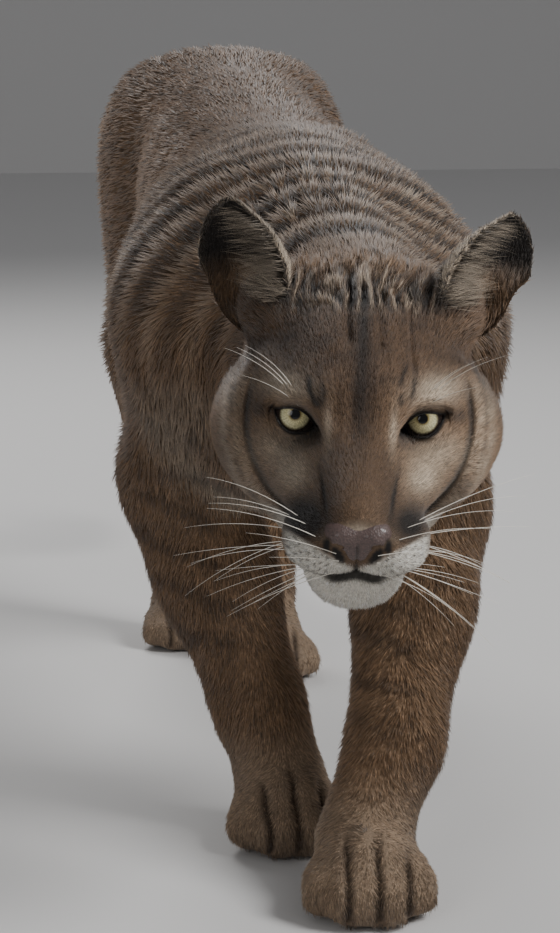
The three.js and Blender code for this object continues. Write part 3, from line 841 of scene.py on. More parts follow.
# %% Eyes' surrounds and brow
def eye_surrounds(colour, points):
    """The pale patches over and under each eye, the dark island by the brow and the outer streak."""
    s, v = face_plane(points)
    above_eye = bump((s - 0.052) / 0.017, (v - 0.0245 - 0.1 * (s - 0.05)) / 0.0105)
    colour = tinted(colour, PALE, 0.95 * above_eye)
    colour = tinted(colour, PALE, 0.6 * bump((s - 0.055) / 0.02, (v + 0.018) / 0.014))
    colour = tinted(colour, PALE, 0.95 * bump((s - 0.045) / 0.011, (v + 0.036) / 0.012))
    colour = tinted(colour, BROWN, 0.9 * bump((s - 0.068) / 0.008, (v - 0.008) / 0.0055))
    island = np.hypot((s - 0.0315 - 0.12 * (v - 0.026)) / 0.0048, (v - 0.026) / 0.0125)
    broken = ramp(wander(points, 0.018, 24), -0.9, 0.3)
    colour = tinted(colour, BLACK, 0.95 * bump((island - 1) / 0.4) * broken)
    return tinted(colour, PALE, 0.7 * bump((s - 0.0225) / 0.003, (v + 0.003) / 0.014))


def brow_and_crown(colour, points):
    """The dark line down the forehead, its flanks, and painted shade and light on the puckers."""
    s, v = face_plane(points)
    line = bump(s / 0.005) * ramp(v, -0.03, 0.02) * ramp(0.09 - v, 0, 0.02)
    colour = tinted(colour, BLACK, 0.95 * line)
    colour = tinted(colour, BROWN, 0.6 * bump(s / 0.012, (v - 0.03) / 0.045))
    colour = tinted(colour, BLACK, 0.95 * bump(s / 0.007, (v - 0.09) / 0.008))
    # Painted shade in the creases of the puckers, and a painted highlight on their crests.
    wave, shown = crown_folds(points)
    colour = tinted(colour, BLACK, 0.9 * shown * ramp(-wave, 0.0, 0.7))
    colour = tinted(colour, PALE, 0.6 * shown * ramp(wave, 0.2, 1))
    curl = np.hypot((s - 0.049) / 0.014, (v - 0.098) / 0.016)
    return tinted(colour, BLACK, 0.85 * bump((curl - 1) / 0.25) * ramp(v, 0.08, 0.09))


# %% [markdown]
# ## Muzzle, lips and chin
# The muzzle is white below and dark at its sides, with rows of dark spots where the whiskers grow;
# the side away from the key light gets a darker patch, as painted shade. The line of the mouth and the
# groove under the nose are nearly black, and lie in the grooves that the relief has cut. The nostrils
# are painted nearly black too, as painted shade in their openings.

# %% Muzzle, lips and chin
SPOT_ROW, SPOT_GAP = 0.0052, 0.0046


def nostril_commas(points):
    """1 in the dark commas of the nostrils, at the lower corners of the pad."""
    s, v = face_plane(points)
    comma = bump((s - 0.0125 - 0.55 * (v + 0.089)) / 0.0034, (v + 0.0885) / 0.0052)
    flank = bump((s - 0.0205) / 0.0026, (v + 0.082) / 0.0052)
    return np.maximum(comma, 0.8 * flank) * ramp(to_head(points)[:, 1], 0.05, 0.06)


def lips_and_chin(colour, points):
    """White lips with dotted whisker rows, dark muzzle sides, the mouth's dark line and a white chin."""
    side, forward, up = to_head(points).T
    s, v = face_plane(points)
    above = up - mouth_line(side, forward)
    muzzle = ramp(forward, 0.03, 0.045)
    colour = tinted(colour, PALE, 0.8 * bump(s / 0.019, (v + 0.0715 + 0.2 * s) / 0.005) * muzzle)
    # The black patch is real; it is made darker on the side away from the key light: painted shade.
    dark = np.where(side < 0, 1.0, 0.75)
    patch = bump((s - 0.036) / 0.015, (v + 0.066) / 0.0145)
    colour = tinted(colour, BLACK, np.minimum(patch * 1.5 * dark, 0.96))
    lip_top = -0.0975 + 0.53 * s
    lip = ramp(lip_top - v, -0.001, 0.004) * ramp(above, -0.001, 0.001) * ramp(0.052 - s, 0, 0.006) * muzzle
    colour = tinted(colour, WHITE, 0.95 * lip)
    rows = np.sin((v + 0.109 - 0.5 * s * ramp(s, 0.01, 0.05)) * 2 * math.pi / SPOT_ROW)
    dots = np.sin(s * 2 * math.pi / SPOT_GAP + 1.4 * wander(points, 0.02, 23))
    spots = ramp(rows, 0.3, 0.8) * ramp(dots, -0.5, 0.4) * ramp(s, 0.012, 0.018)
    colour = tinted(colour, BLACK, 0.8 * lip * spots)
    chin = ramp(-above, -0.001, 0.001) * ramp(forward, -0.01, 0.03)
    colour = tinted(colour, WHITE, 0.9 * chin)
    corner = ramp(0.056 - s, 0, 0.008) * ramp(forward, 0.022, 0.032)
    colour = tinted(colour, BLACK, 0.97 * bump(above / 0.0034) * corner)
    lower_lip = bump((above + 0.0035) / 0.0028) * ramp(0.026 - s, 0, 0.012) * muzzle
    colour = tinted(colour, BLACK, 0.95 * lower_lip)
    philtrum = bump(side / 0.0014) * ramp(-0.094 - v, 0, 0.003) * ramp(above, -0.001, 0.001) * muzzle
    colour = tinted(colour, BLACK, 0.95 * philtrum)
    # Painted shade: the nostril openings are painted black on the skin around the pad too.
    return tinted(colour, BLACK, ramp(nostril_commas(points), 0.1, 0.5))


# %% [markdown]
# ## The whole coat's colour
# The face, the ears and the body each have their own function, and soft weights mix them, so that no
# edge shows between them. The hollow of an ear is painted near black, as painted shade, with a pale
# rim, and its back is brown.


# %% The whole coat's colour
def face_colour(points):
    _, forward, up = to_head(points).T
    s, v = face_plane(points)
    front = ramp(forward, -0.1, -0.07)
    grain = wander(points, 0.02, 21)
    plain = np.tile(np.array(TAWNY) * 0.85, (len(points), 1))
    colour = tinted(plain, SADDLE, 0.75 * ramp(v, 0.0, 0.05))
    colour = tinted(colour, BROWN, 0.4 * bump(s / 0.024) * ramp(forward, -0.02, 0.03))
    colour = tinted(colour, BROWN, 0.5 * ramp(grain, -0.4, 1.2) * ramp(v, -0.02, 0.05))
    colour = tinted(colour, BROWN, 0.5 * bump((s - 0.02) / 0.008, (v + 0.045) / 0.03))
    outside, shown = cheek_fold(points)
    strands = 0.65 + 0.35 * wander(points, 0.009, 25)
    band = ramp(outside, 0.0, 0.006) * ramp(0.024 - outside, 0, 0.008)
    colour = tinted(colour, PALE, 0.6 * strands * shown * band)
    # Painted shade in the crease of the cheek fold.
    colour = tinted(colour, BLACK, 0.95 * shown * bump(outside / 0.0019))
    colour = tinted(colour, BLACK, 0.6 * shown * bump((outside - 0.0125) / 0.0016) * ramp(grain, -0.6, 0.4))
    colour = eye_surrounds(colour, points)
    colour = brow_and_crown(colour, points)
    colour = lips_and_chin(colour, points)
    colour = plain * 0.9 + (colour - plain * 0.9) * front[:, None]
    colour = tinted(colour, PALE, 0.75 * ramp(-up, 0.07, 0.09) * ramp(0.03 - forward, 0, 0.03))
    colour = tinted(colour, BLACK, 0.95 * (tear_line(s, up, 0.0022, 0.009) * front))
    for eye in (1, -1):
        across, high, out = seen_through(points, eye)
        near = (out > 0) & (np.hypot(across, high) < LID_REACH)
        rim = bump(np.minimum(inside_lids(across, high), 0) / 0.0026)
        colour = tinted(colour, BLACK, rim * near)
    return colour


def cup_facing(points, normals):
    """About 1 where an ear's skin looks straight out of its cup, 0 at the rim and less behind it."""
    outwards = np.sign(to_head(points)[:, 0]) * math.sin(EAR_TURN)
    ahead = np.full(len(points), -math.cos(EAR_TURN))
    ways = np.stack([outwards, ahead, np.full(len(points), 0.35)], axis=1)
    return np.sum(normals * (ways @ TURN.T), axis=1)


def ear_colour(points, normals):
    up = to_head(points)[:, 2]
    facing = cup_facing(points, normals)
    outside = np.tile(np.array(BROWN), (len(points), 1))
    outside = tinted(outside, BLACK, ramp(0.09 - up, 0, 0.03))
    # Painted shade: the hollow of the cup is painted near black.
    inside = np.tile(np.array(BLACK) * 2, (len(points), 1))
    colour = outside + (inside - outside) * ramp(facing, 0.0, 0.3)[:, None]
    rim = bump((facing + 0.02) / 0.42) * ramp(up, EAR_RISE + 0.005, EAR_RISE + 0.02)
    return tinted(colour, PALE, 0.95 * rim)


def coat_colour(points, normals):
    head = near_head(points)[:, None]
    colour = body_colour(points, normals)
    colour = colour + (face_colour(points) - colour) * head
    return colour + (ear_colour(points, normals) - colour) * on_ears(points)[:, None]


def give_colour(mesh, colours):
    layer = mesh.attributes.new("coat", "FLOAT_COLOR", "POINT")
    opaque = np.column_stack([colours, np.ones(len(colours))])
    layer.data.foreach_set("color", opaque.astype(np.float32).ravel())


SKIN_SHADE = 0.6
skin_points = read(skin.data)
skin_normals = normals_of(skin.data)
skin_colours = coat_colour(skin_points, skin_normals)
give_colour(skin.data, skin_colours * SKIN_SHADE)
print("mean colour of the coat:", [round(float(v), 3) for v in skin_colours.mean(axis=0)])

# %% [markdown]
# ## A flat map of the skin
# The skin is cut into islands and laid out flat on a map, and every tuft will get a tiny patch where
# its root lies on this layout.

# %% A flat map of the skin
bpy.context.view_layer.objects.active = skin
skin.select_set(True)
skin.data.uv_layers.new(name="OFBake")
bpy.ops.object.mode_set(mode="EDIT")
bpy.ops.mesh.select_all(action="SELECT")
bpy.ops.uv.smart_project(angle_limit=math.radians(66), island_margin=0.001)
bpy.ops.object.mode_set(mode="OBJECT")
print("unwrapped")

# %% [markdown]
# ## The materials of coat and skin
# Hair colour comes from the markings, a shade per tuft, and a gradient from a dark root to a paler
# tip. A node group adds the fine unevenness of real fur, so that no patch is one flat colour, and
# the skin under it shares the same group with a stronger bump, for the short hair between tufts.


# %% The materials of coat and skin
def fur_group():
    group = bpy.data.node_groups.new("uneven fur", "ShaderNodeTree")
    group.interface.new_socket("Colour", in_out="INPUT", socket_type="NodeSocketColor")
    group.interface.new_socket("Hair size", in_out="INPUT", socket_type="NodeSocketFloat")
    group.interface.new_socket("Uneven", in_out="INPUT", socket_type="NodeSocketFloat")
    group.interface.new_socket("Colour", in_out="OUTPUT", socket_type="NodeSocketColor")
    group.interface.new_socket("Height", in_out="OUTPUT", socket_type="NodeSocketFloat")
    add, link = group.nodes.new, group.links.new
    given, made = add("NodeGroupInput"), add("NodeGroupOutput")
    place = add("ShaderNodeTexCoord")
    noise = add("ShaderNodeTexNoise")
    noise.inputs["Detail"].default_value = 4
    noise.inputs["Roughness"].default_value = 0.65
    link(place.outputs["Object"], noise.inputs["Vector"])
    link(given.outputs["Hair size"], noise.inputs["Scale"])
    span = add("ShaderNodeMapRange")
    span.inputs["From Min"].default_value = 0.3
    span.inputs["From Max"].default_value = 0.7
    span.inputs["To Min"].default_value = 0.55
    span.inputs["To Max"].default_value = 1.45
    link(noise.outputs["Fac"], span.inputs["Value"])
    shaded = add("ShaderNodeMix")
    shaded.data_type = "RGBA"
    shaded.blend_type = "MULTIPLY"
    link(given.outputs["Uneven"], shaded.inputs["Factor"])
    link(given.outputs["Colour"], shaded.inputs["A"])
    link(span.outputs["Result"], shaded.inputs["B"])
    link(shaded.outputs["Result"], made.inputs["Colour"])
    link(noise.outputs["Fac"], made.inputs["Height"])
    return group


uneven_fur = fur_group()


def fur_material(name, hair_size, uneven, roughness, bump_depth):
    material = bpy.data.materials.new(name)
    material.use_nodes = True
    tree = material.node_tree
    shader = tree.nodes["Principled BSDF"]
    colour = tree.nodes.new("ShaderNodeVertexColor")
    colour.layer_name = "coat"
    fur = tree.nodes.new("ShaderNodeGroup")
    fur.node_tree = uneven_fur
    fur.inputs["Hair size"].default_value = hair_size
    fur.inputs["Uneven"].default_value = uneven
    raised = tree.nodes.new("ShaderNodeBump")
    raised.inputs["Strength"].default_value = 0.5
    raised.inputs["Distance"].default_value = bump_depth
    tree.links.new(colour.outputs["Color"], fur.inputs["Colour"])
    tree.links.new(fur.outputs["Colour"], shader.inputs["Base Color"])
    tree.links.new(fur.outputs["Height"], raised.inputs["Height"])
    tree.links.new(raised.outputs["Normal"], shader.inputs["Normal"])
    shader.inputs["Roughness"].default_value = roughness
    shader.inputs["Specular IOR Level"].default_value = 0.3
    shader.inputs["Sheen Weight"].default_value = 0.12
    shader.inputs["Sheen Roughness"].default_value = 0.4
    return material


skin.data.materials.clear()
skin.data.materials.append(fur_material("skin under fur", 520, 0.7, 0.8, 0.0012))
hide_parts(*FLESH)
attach(skin, "root")
hair_material = fur_material("hair", 260, 0.4, 0.55, 0.0004)
print("materials:", skin.data.materials[0].name, "and", hair_material.name)

# %% [markdown]
# ## Sowing the tufts
# Particle hair doesn't survive an export, so every tuft is a real mesh: a thin closed sliver with
# three sides, sunk in the skin and drawn out to a point. Tufts are sown over the skin's triangles
# with a seeded draw, dense and small on the face and paws, longer and wider on the body.

# %% Sowing the tufts
TUFTS = 358000
SPARE_SHARE = 1.06
TUFTS_PER_PIECE = 48000
ROOT_DEPTH = 0.0012


def triangles_of(mesh):
    corners = np.empty(len(mesh.polygons) * 3, np.int64)
    mesh.loops.foreach_get("vertex_index", corners)
    flat = np.empty(len(mesh.loops) * 2, np.float32)
    mesh.uv_layers["OFBake"].uv.foreach_get("vector", flat)
    return corners.reshape(-1, 3), flat.reshape(-1, 3, 2)


def face_weight(points):
    return ramp(to_head(points)[:, 1], -0.06, -0.01) * near_head(points)


def crowding(points):
    """How crowded the tufts are, in shares that the draw scales to their total."""
    head, face, paws = near_head(points), face_weight(points), near_paws(points)
    fore = ramp(-0.1 - points[:, 1], 0, 0.3)
    many = 80 + 140 * fore + on_legs(points) * 45
    many = many + (500 - many) * head
    many = many + (1650 - many) * face
    many = many + (430 - many) * paws * ramp(-0.3 - points[:, 1], 0, 0.1)
    return many + (750 - many) * on_ears(points)


def bare(points, normals):
    """Places with no hair: eye openings, nose pad, nostrils, the line of the mouth and the soles."""
    side, forward, up = to_head(points).T
    empty = (points[:, 2] < 0.012) & (normals[:, 2] < -0.5)
    for eye in (1, -1):
        across, high, out = seen_through(points, eye)
        empty |= (inside_lids(across, high) > -0.0016) & (out > 0) & (np.hypot(across, high) < 0.022)
    pad = (np.abs(side) / 0.0215) ** 2 + ((up + 0.0345) / 0.0145) ** 2 < 1
    empty |= pad & (forward > 0.07)
    above = up - mouth_line(side, forward)
    empty |= nostril_commas(points) > 0.35
    return empty | ((np.abs(above) < 0.002) & (forward > 0.035) & (np.abs(side) < 0.044))


draw = np.random.default_rng(7)
corners, flat_map = triangles_of(skin.data)
a, b, c = (skin_points[corners[:, i]] for i in range(3))
areas = np.linalg.norm(np.cross(b - a, c - a), axis=1) / 2
chance = areas * crowding((a + b + c) / 3)
picked = draw.choice(len(areas), size=int(TUFTS * SPARE_SHARE), p=chance / chance.sum())
first, second = draw.random(len(picked)), draw.random(len(picked))
over = first + second > 1
first[over], second[over] = 1 - first[over], 1 - second[over]
share = np.stack([1 - first - second, first, second], axis=1)
roots = np.einsum("ij,ijk->ik", share, skin_points[corners[picked]])
root_normals = np.einsum("ij,ijk->ik", share, skin_normals[corners[picked]])
root_normals /= np.maximum(np.linalg.norm(root_normals, axis=1), 1e-6)[:, None]
root_map = np.einsum("ij,ijk->ik", share, flat_map[picked])
kept = np.flatnonzero(~bare(roots, root_normals))[:TUFTS]
kept = kept[np.argsort(roots[kept, 1])]
roots, root_normals, root_map = roots[kept], root_normals[kept], root_map[kept]
print("tufts:", len(roots), "over", round(float(areas.sum()), 2), "square metres")

# %% [markdown]
# ## Length, width and lift of each tuft
# The coat lies nearly flat. It is a few millimetres long on the nose and the face, about a
# centimetre on the skull and the legs, and about two on the trunk and the belly. It stands out most
# behind the face and under the chin. Tufts are drawn wider than real hairs, and finer at the front,
# where the camera is close.

# %% Length, width and lift of each tuft
TRUNK_HAIR, BELLY_LONGER, LEG_HAIR, HEAD_HAIR = 0.0165, 0.005, 0.0115, 0.0115
FACE_HAIR, NOSE_HAIR, PAW_HAIR, EAR_HAIR, CHIN_HAIR = 0.0064, 0.0036, 0.007, 0.006, 0.011
TRUNK_TUFT, FINER_IN_FRONT = 0.0027, 0.0011
HEAD_TUFT, FACE_TUFT, PAW_TUFT = 0.0012, 0.00085, 0.0013


def tuft_sizes(points, draw):
    head, face, paws, ears = near_head(points), face_weight(points), near_paws(points), on_ears(points)
    _, forward, up = to_head(points).T
    length = TRUNK_HAIR + BELLY_LONGER * ramp(0.45 - points[:, 2], 0, 0.1) * (1 - on_legs(points))
    length = length + (LEG_HAIR - length) * on_legs(points)
    length = length + (HEAD_HAIR - length) * head
    length = length + (FACE_HAIR - length) * face
    length = length + (NOSE_HAIR - length) * face * ramp(forward, 0.05, 0.085)
    length = length + (PAW_HAIR - length) * paws
    length = length + (EAR_HAIR - length) * ears
    chin = head * ramp(-up, 0.085, 0.1)
    length = length + (CHIN_HAIR - length) * chin * 0.8
    width = TRUNK_TUFT - FINER_IN_FRONT * ramp(-0.1 - points[:, 1], 0, 0.25)
    width = width + (HEAD_TUFT - width) * head
    width = width + (FACE_TUFT - width) * face
    width = width + (PAW_TUFT - width) * np.maximum(paws, ears)
    lift = 0.2 + 0.08 * head * (1 - face) + 0.08 * chin
    lift = lift + (0.18 - lift) * face
    spread = draw.uniform(0.7, 1.3, len(points))
    width = width * draw.uniform(0.75, 1.25, len(points))
    lift = lift * draw.uniform(0.5, 1.6, len(points))
    return length * spread, width, lift


flank, nose_tip = np.array([[0.1, 0.2, 0.5]]), from_head(0.0, 0.09, -0.03)[None]
for place, spot in (("flank", flank), ("nose", nose_tip)):
    measured = tuft_sizes(spot, np.random.default_rng(1))
    print("a tuft on the", place, "is about", round(float(measured[0][0]) * 1000, 1), "mm long")

# %% [markdown]
# ## From roots to meshes
# Each tuft needs only four points: three at its root and one at its tip. All the points of a piece
# are worked out at once as arrays and handed to the mesh, which is far quicker than a call for each
# tuft. The coat is shared out over several pieces, so that none grows too large.

# %% From roots to meshes
BLADE_FACES = np.array([(0, 1, 2), (0, 2, 3), (2, 1, 3), (1, 0, 3)])
BLADE_POINTS = 4
ALONG = np.array([0, 0, 0.1, 1.0])
PATCH_SIZE = 0.003
PATCH = PATCH_SIZE * np.array([(-0.5, -0.5), (0.5, -0.5), (0, -0.3), (0, 0.5)])
ROOT_SHADE, PALER_TO_TIP = 0.5, 0.85


def blades(roots, normals, lie, length, width, lift):
    """Four points for each tuft: three at the root and the tip, so that each is a closed sliver."""
    half = np.cross(normals, lie) * (width / 2)[:, None]
    base = roots - normals * ROOT_DEPTH
    top = base + normals * (width * 0.4)[:, None]
    rise = normals * np.sin(lift)[:, None] + lie * np.cos(lift)[:, None]
    tip = roots + rise * length[:, None]
    return np.stack([base + half, base - half, top, tip], axis=1)


def mesh_of_blades(name, points, colours, flat_places):
    """One mesh from many blades: joined arrays, because a hundred thousand bmesh calls are too slow."""
    count = len(points)
    faces = (BLADE_FACES[None] + BLADE_POINTS * np.arange(count)[:, None, None]).reshape(-1, 3)
    mesh = bpy.data.meshes.new(name)
    mesh.vertices.add(count * BLADE_POINTS)
    mesh.vertices.foreach_set("co", points.astype(np.float32).ravel())
    mesh.loops.add(faces.size)
    mesh.loops.foreach_set("vertex_index", faces.ravel().astype(np.int32))
    mesh.polygons.add(len(faces))
    mesh.polygons.foreach_set("loop_start", np.arange(0, faces.size, 3, dtype=np.int32))
    mesh.update(calc_edges=True)
    give_colour(mesh, colours.reshape(-1, 3))
    layer = mesh.uv_layers.new(name="OFBake")
    patches = (flat_places[:, None, :] + PATCH[None]).reshape(-1, 2)
    layer.uv.foreach_set("vector", patches[faces.ravel()].astype(np.float32).ravel())
    mesh.shade_smooth()
    mesh.materials.append(hair_material)
    made = new_object(name, mesh)
    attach(made, "root")


lie = lie_of_hair(roots, root_normals)
across = np.cross(root_normals, lie)
lie = lie + across * draw.normal(0, 0.13, len(roots))[:, None]
lie /= np.linalg.norm(lie, axis=1)[:, None]
length, width, lift = tuft_sizes(roots, draw)
points = blades(roots, root_normals, lie, length, width, lift)
points[..., 2] = np.maximum(points[..., 2], FLOOR_GAP)
calm = neck_bands(roots)[1]
shade = 1 + draw.normal(0, 0.2, len(roots)).clip(-0.5, 0.6) * (1 - 0.5 * calm)
shade[draw.random(len(roots)) < 0.12 * (1 - calm)] *= 0.5
gradient = ROOT_SHADE + PALER_TO_TIP * ALONG
root_colours = coat_colour(roots, root_normals)
tip_colours = coat_colour(points[:, 3], root_normals)
change = (tip_colours - root_colours) * near_head(roots)[:, None]
mixed = root_colours[:, None, :] + change[:, None, :] * ALONG[None, :, None]
colours = mixed * shade[:, None, None] * gradient[None, :, None]
for start in range(0, len(roots), TUFTS_PER_PIECE):
    part = slice(start, start + TUFTS_PER_PIECE)
    name = f"coat_{start // TUFTS_PER_PIECE + 1}"
    mesh_of_blades(name, points[part], colours[part].clip(0, 1), root_map[part])
print("coat pieces:", math.ceil(len(roots) / TUFTS_PER_PIECE))

# %% [markdown]
# ## Hair in the ears
# Long pale hairs spring from the side of each cup that is nearest the crown, and lie outwards across
# its dark hollow. They are the same blades, longer and thinner, and they grow from the ear's own skin.

# %% Hair in the ears
INNER_HAIRS = 1300
INNER_HAIR_WIDTH = 0.0007


def ear_hairs(side):
    draw = np.random.default_rng(31 + side)
    s, _, up = to_head(skin_points).T
    inner = s * side < EAR_SIDE + 0.004 + 0.3 * (up - EAR_RISE)
    fits = (on_ears(skin_points) > 0.3) & (s * side > 0) & (cup_facing(skin_points, skin_normals) > 0.2)
    chosen = np.flatnonzero(fits & inner & (up < 0.105))
    picked = draw.choice(chosen, INNER_HAIRS)
    roots = skin_points[picked] + draw.normal(0, 0.0012, (INNER_HAIRS, 3))
    way = TURN @ np.array([side * 0.85, -0.5, 0.35])
    lie = way + draw.normal(0, 0.16, (INNER_HAIRS, 3))
    lie /= np.linalg.norm(lie, axis=1)[:, None]
    normals = skin_normals[picked]
    length = draw.uniform(0.012, 0.027, INNER_HAIRS)
    width, lift = np.full(INNER_HAIRS, INNER_HAIR_WIDTH), draw.uniform(0.1, 0.4, INNER_HAIRS)
    points = blades(roots, normals, lie, length, width, lift)
    tone = draw.uniform(0.35, 0.95, INNER_HAIRS)[:, None, None] * np.array(PALE)
    colours = (tone * (0.5 + 0.6 * ALONG)[None, :, None]).clip(0, 1)
    corner_map = np.zeros((len(skin_points), 2), np.float32)
    corner_map[corners.ravel()] = flat_map.reshape(-1, 2)
    mesh_of_blades(sided("ear_hair", side), points, colours, corner_map[picked])


for side in (1, -1):
    ear_hairs(side)
print("hairs in each ear:", INNER_HAIRS)

# %% [markdown]
# ## Eyes
# Each eyeball is a ball with a slight bulge for the cornea. Its colours are rings around the line of
# sight: a round black pupil, a pale yellow iris with fine spokes, a dark ring at its edge, and brown
# beyond it. A clear coat gives the wet highlight.

# %% Eyes
IRIS_RADIUS, PUPIL_RADIUS = 0.0112, 0.0037
CORNEA_BULGE = 0.0011
RING_SPAN = 1.25
PUPIL_BLACK = (0.003, 0.003, 0.003)


def ring_colours(ramp_node, stops):
    elements = ramp_node.color_ramp.elements
    while len(elements) > 1:
        elements.remove(elements[-1])
    elements[0].position, elements[0].color = stops[0][0], (*stops[0][1], 1)
    for position, colour in stops[1:]:
        elements.new(position).color = (*colour, 1)


def eye_material(name, centre, gaze):
    material = bpy.data.materials.new(name)
    material.use_nodes = True
    tree = material.node_tree
    add, link = tree.nodes.new, tree.links.new
    shader = tree.nodes["Principled BSDF"]
    place = add("ShaderNodeTexCoord")
    turn = add("ShaderNodeMapping")
    turn.vector_type = "TEXTURE"
    turn.inputs["Location"].default_value = centre
    turn.inputs["Rotation"].default_value = gaze.to_track_quat("Z", "Y").to_euler()
    link(place.outputs["Object"], turn.inputs["Vector"])
    split = add("ShaderNodeSeparateXYZ")
    link(turn.outputs["Vector"], split.inputs["Vector"])
    flat = add("ShaderNodeCombineXYZ")
    link(split.outputs["X"], flat.inputs["X"])
    link(split.outputs["Y"], flat.inputs["Y"])
    radius = add("ShaderNodeVectorMath")
    radius.operation = "LENGTH"
    link(flat.outputs["Vector"], radius.inputs[0])
    scaled = add("ShaderNodeMath")
    scaled.operation = "DIVIDE"
    scaled.inputs[1].default_value = IRIS_RADIUS * RING_SPAN
    link(radius.outputs["Value"], scaled.inputs[0])
    rings = add("ShaderNodeValToRGB")
    pupil, edge = PUPIL_RADIUS / IRIS_RADIUS / RING_SPAN, 1 / RING_SPAN
    ring_colours(
        rings,
        [
            (0.0, PUPIL_BLACK),
            (pupil - 0.015, PUPIL_BLACK),
            (pupil + 0.02, (0.2, 0.15, 0.05)),
            (pupil + 0.14, (0.56, 0.5, 0.27)),
            (edge - 0.12, (0.5, 0.47, 0.28)),
            (edge - 0.02, (0.12, 0.1, 0.06)),
            (edge + 0.03, (0.02, 0.015, 0.012)),
            (1.0, (0.05, 0.035, 0.03)),
        ],
    )
    link(scaled.outputs["Value"], rings.inputs["Fac"])
    spokes = add("ShaderNodeTexNoise")
    spokes.inputs["Scale"].default_value = 9
    spokes.inputs["Detail"].default_value = 3
    angle = add("ShaderNodeMath")
    angle.operation = "ARCTAN2"
    link(split.outputs["Y"], angle.inputs[0])
    link(split.outputs["X"], angle.inputs[1])
    around = add("ShaderNodeCombineXYZ")
    link(angle.outputs["Value"], around.inputs["X"])
    link(scaled.outputs["Value"], around.inputs["Y"])
    link(around.outputs["Vector"], spokes.inputs["Vector"])
    strength = add("ShaderNodeMapRange")
    strength.inputs["From Min"].default_value = 0.35
    strength.inputs["From Max"].default_value = 0.65
    strength.inputs["To Min"].default_value = 0.62
    strength.inputs["To Max"].default_value = 1.25
    link(spokes.outputs["Fac"], strength.inputs["Value"])
    spoked = add("ShaderNodeMix")
    spoked.data_type = "RGBA"
    spoked.blend_type = "MULTIPLY"
    spoked.inputs["Factor"].default_value = 1
    link(rings.outputs["Color"], spoked.inputs["A"])
    link(strength.outputs["Result"], spoked.inputs["B"])
    link(spoked.outputs["Result"], shader.inputs["Base Color"])
    shader.inputs["Roughness"].default_value = 0.12
    shader.inputs["Specular IOR Level"].default_value = 0.2
    shader.inputs["Coat Weight"].default_value = 0.35
    shader.inputs["Coat Roughness"].default_value = 0.03
    return material


def make_eye(side):
    node = sided("eye", side)
    centre = middle_of(node)
    gaze = (camera.location - centre).normalized()
    towards_gaze = gaze.to_track_quat("Z", "Y").to_matrix()
    mesh = bpy.data.meshes.new("ball")
    bm = bmesh.new()
    bmesh.ops.create_uvsphere(bm, u_segments=56, v_segments=40, radius=EYE_RADIUS)
    for v in bm.verts:
        toward = v.co.normalized().z
        v.co += v.co.normalized() * CORNEA_BULGE * float(ramp(toward, 0.7, 1.0))
    bmesh.ops.rotate(bm, verts=bm.verts, cent=(0, 0, 0), matrix=towards_gaze)
    bmesh.ops.translate(bm, verts=bm.verts, vec=centre)
    bm.to_mesh(mesh)
    bm.free()
    mesh.shade_smooth()
    eye = new_object(sided("eyeball", side), mesh)
    mesh.materials.append(eye_material("iris " + node, centre, gaze))
    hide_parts(node)
    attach(eye, "root")


for side in (1, -1):
    make_eye(side)
print("eyes:", round(2000 * EYE_RADIUS), "mm across, with pupils of", round(2000 * PUPIL_RADIUS, 1))

# %% [markdown]
# ## Lid rims
# The edge of each lid is a bare dark rim of skin, thicker above than below, and drawn down into the
# tear duct at the inner corner. It is a closed tube that follows the almond over the ball.

# %% Lid rims
RIM_POINTS = 56
RIM_RADIUS = 0.0011
RIM_WIDER, RIM_PROUD = 1.02, 0.0007
TEAR_DUCT = 0.0035


def rim_place(side, turn):
    """A point of the almond's edge on the ball, for a turn from 0 to 1 around it."""
    angle = turn * 2 * math.pi
    across = LID_HALF_WIDTH * RIM_WIDER * math.cos(angle)
    lens = 1 - (across / (LID_HALF_WIDTH * RIM_WIDER)) ** 2
    high = (LID_UP if math.sin(angle) > 0 else -LID_DOWN) * lens
    duct = TEAR_DUCT * max(0.0, -math.cos(angle)) ** 14
    across, high = across - duct * 0.9, high - duct
    out = float(on_ball(np.array(across), np.array(high), EYE_RADIUS + RIM_PROUD))
    return Vector(np.array([across, high, out]) @ opening_frame(side) + eye_centre(side))


def tube(name, places, radii, closed):
    curve = bpy.data.curves.new(name, "CURVE")
    curve.dimensions = "3D"
    curve.bevel_depth = 1.0
    curve.bevel_resolution = 2
    curve.use_fill_caps = not closed
    line = curve.splines.new("POLY")
    line.points.add(len(places) - 1)
    for point, place, radius in zip(line.points, places, radii):
        point.co = (*place, 1)
        point.radius = radius
    line.use_cyclic_u = closed
    made = new_object(name, curve)
    graph = bpy.context.evaluated_depsgraph_get()
    mesh = bpy.data.meshes.new_from_object(made.evaluated_get(graph))
    bpy.data.objects.remove(made)
    bpy.data.curves.remove(curve)
    mesh.name = name
    return mesh


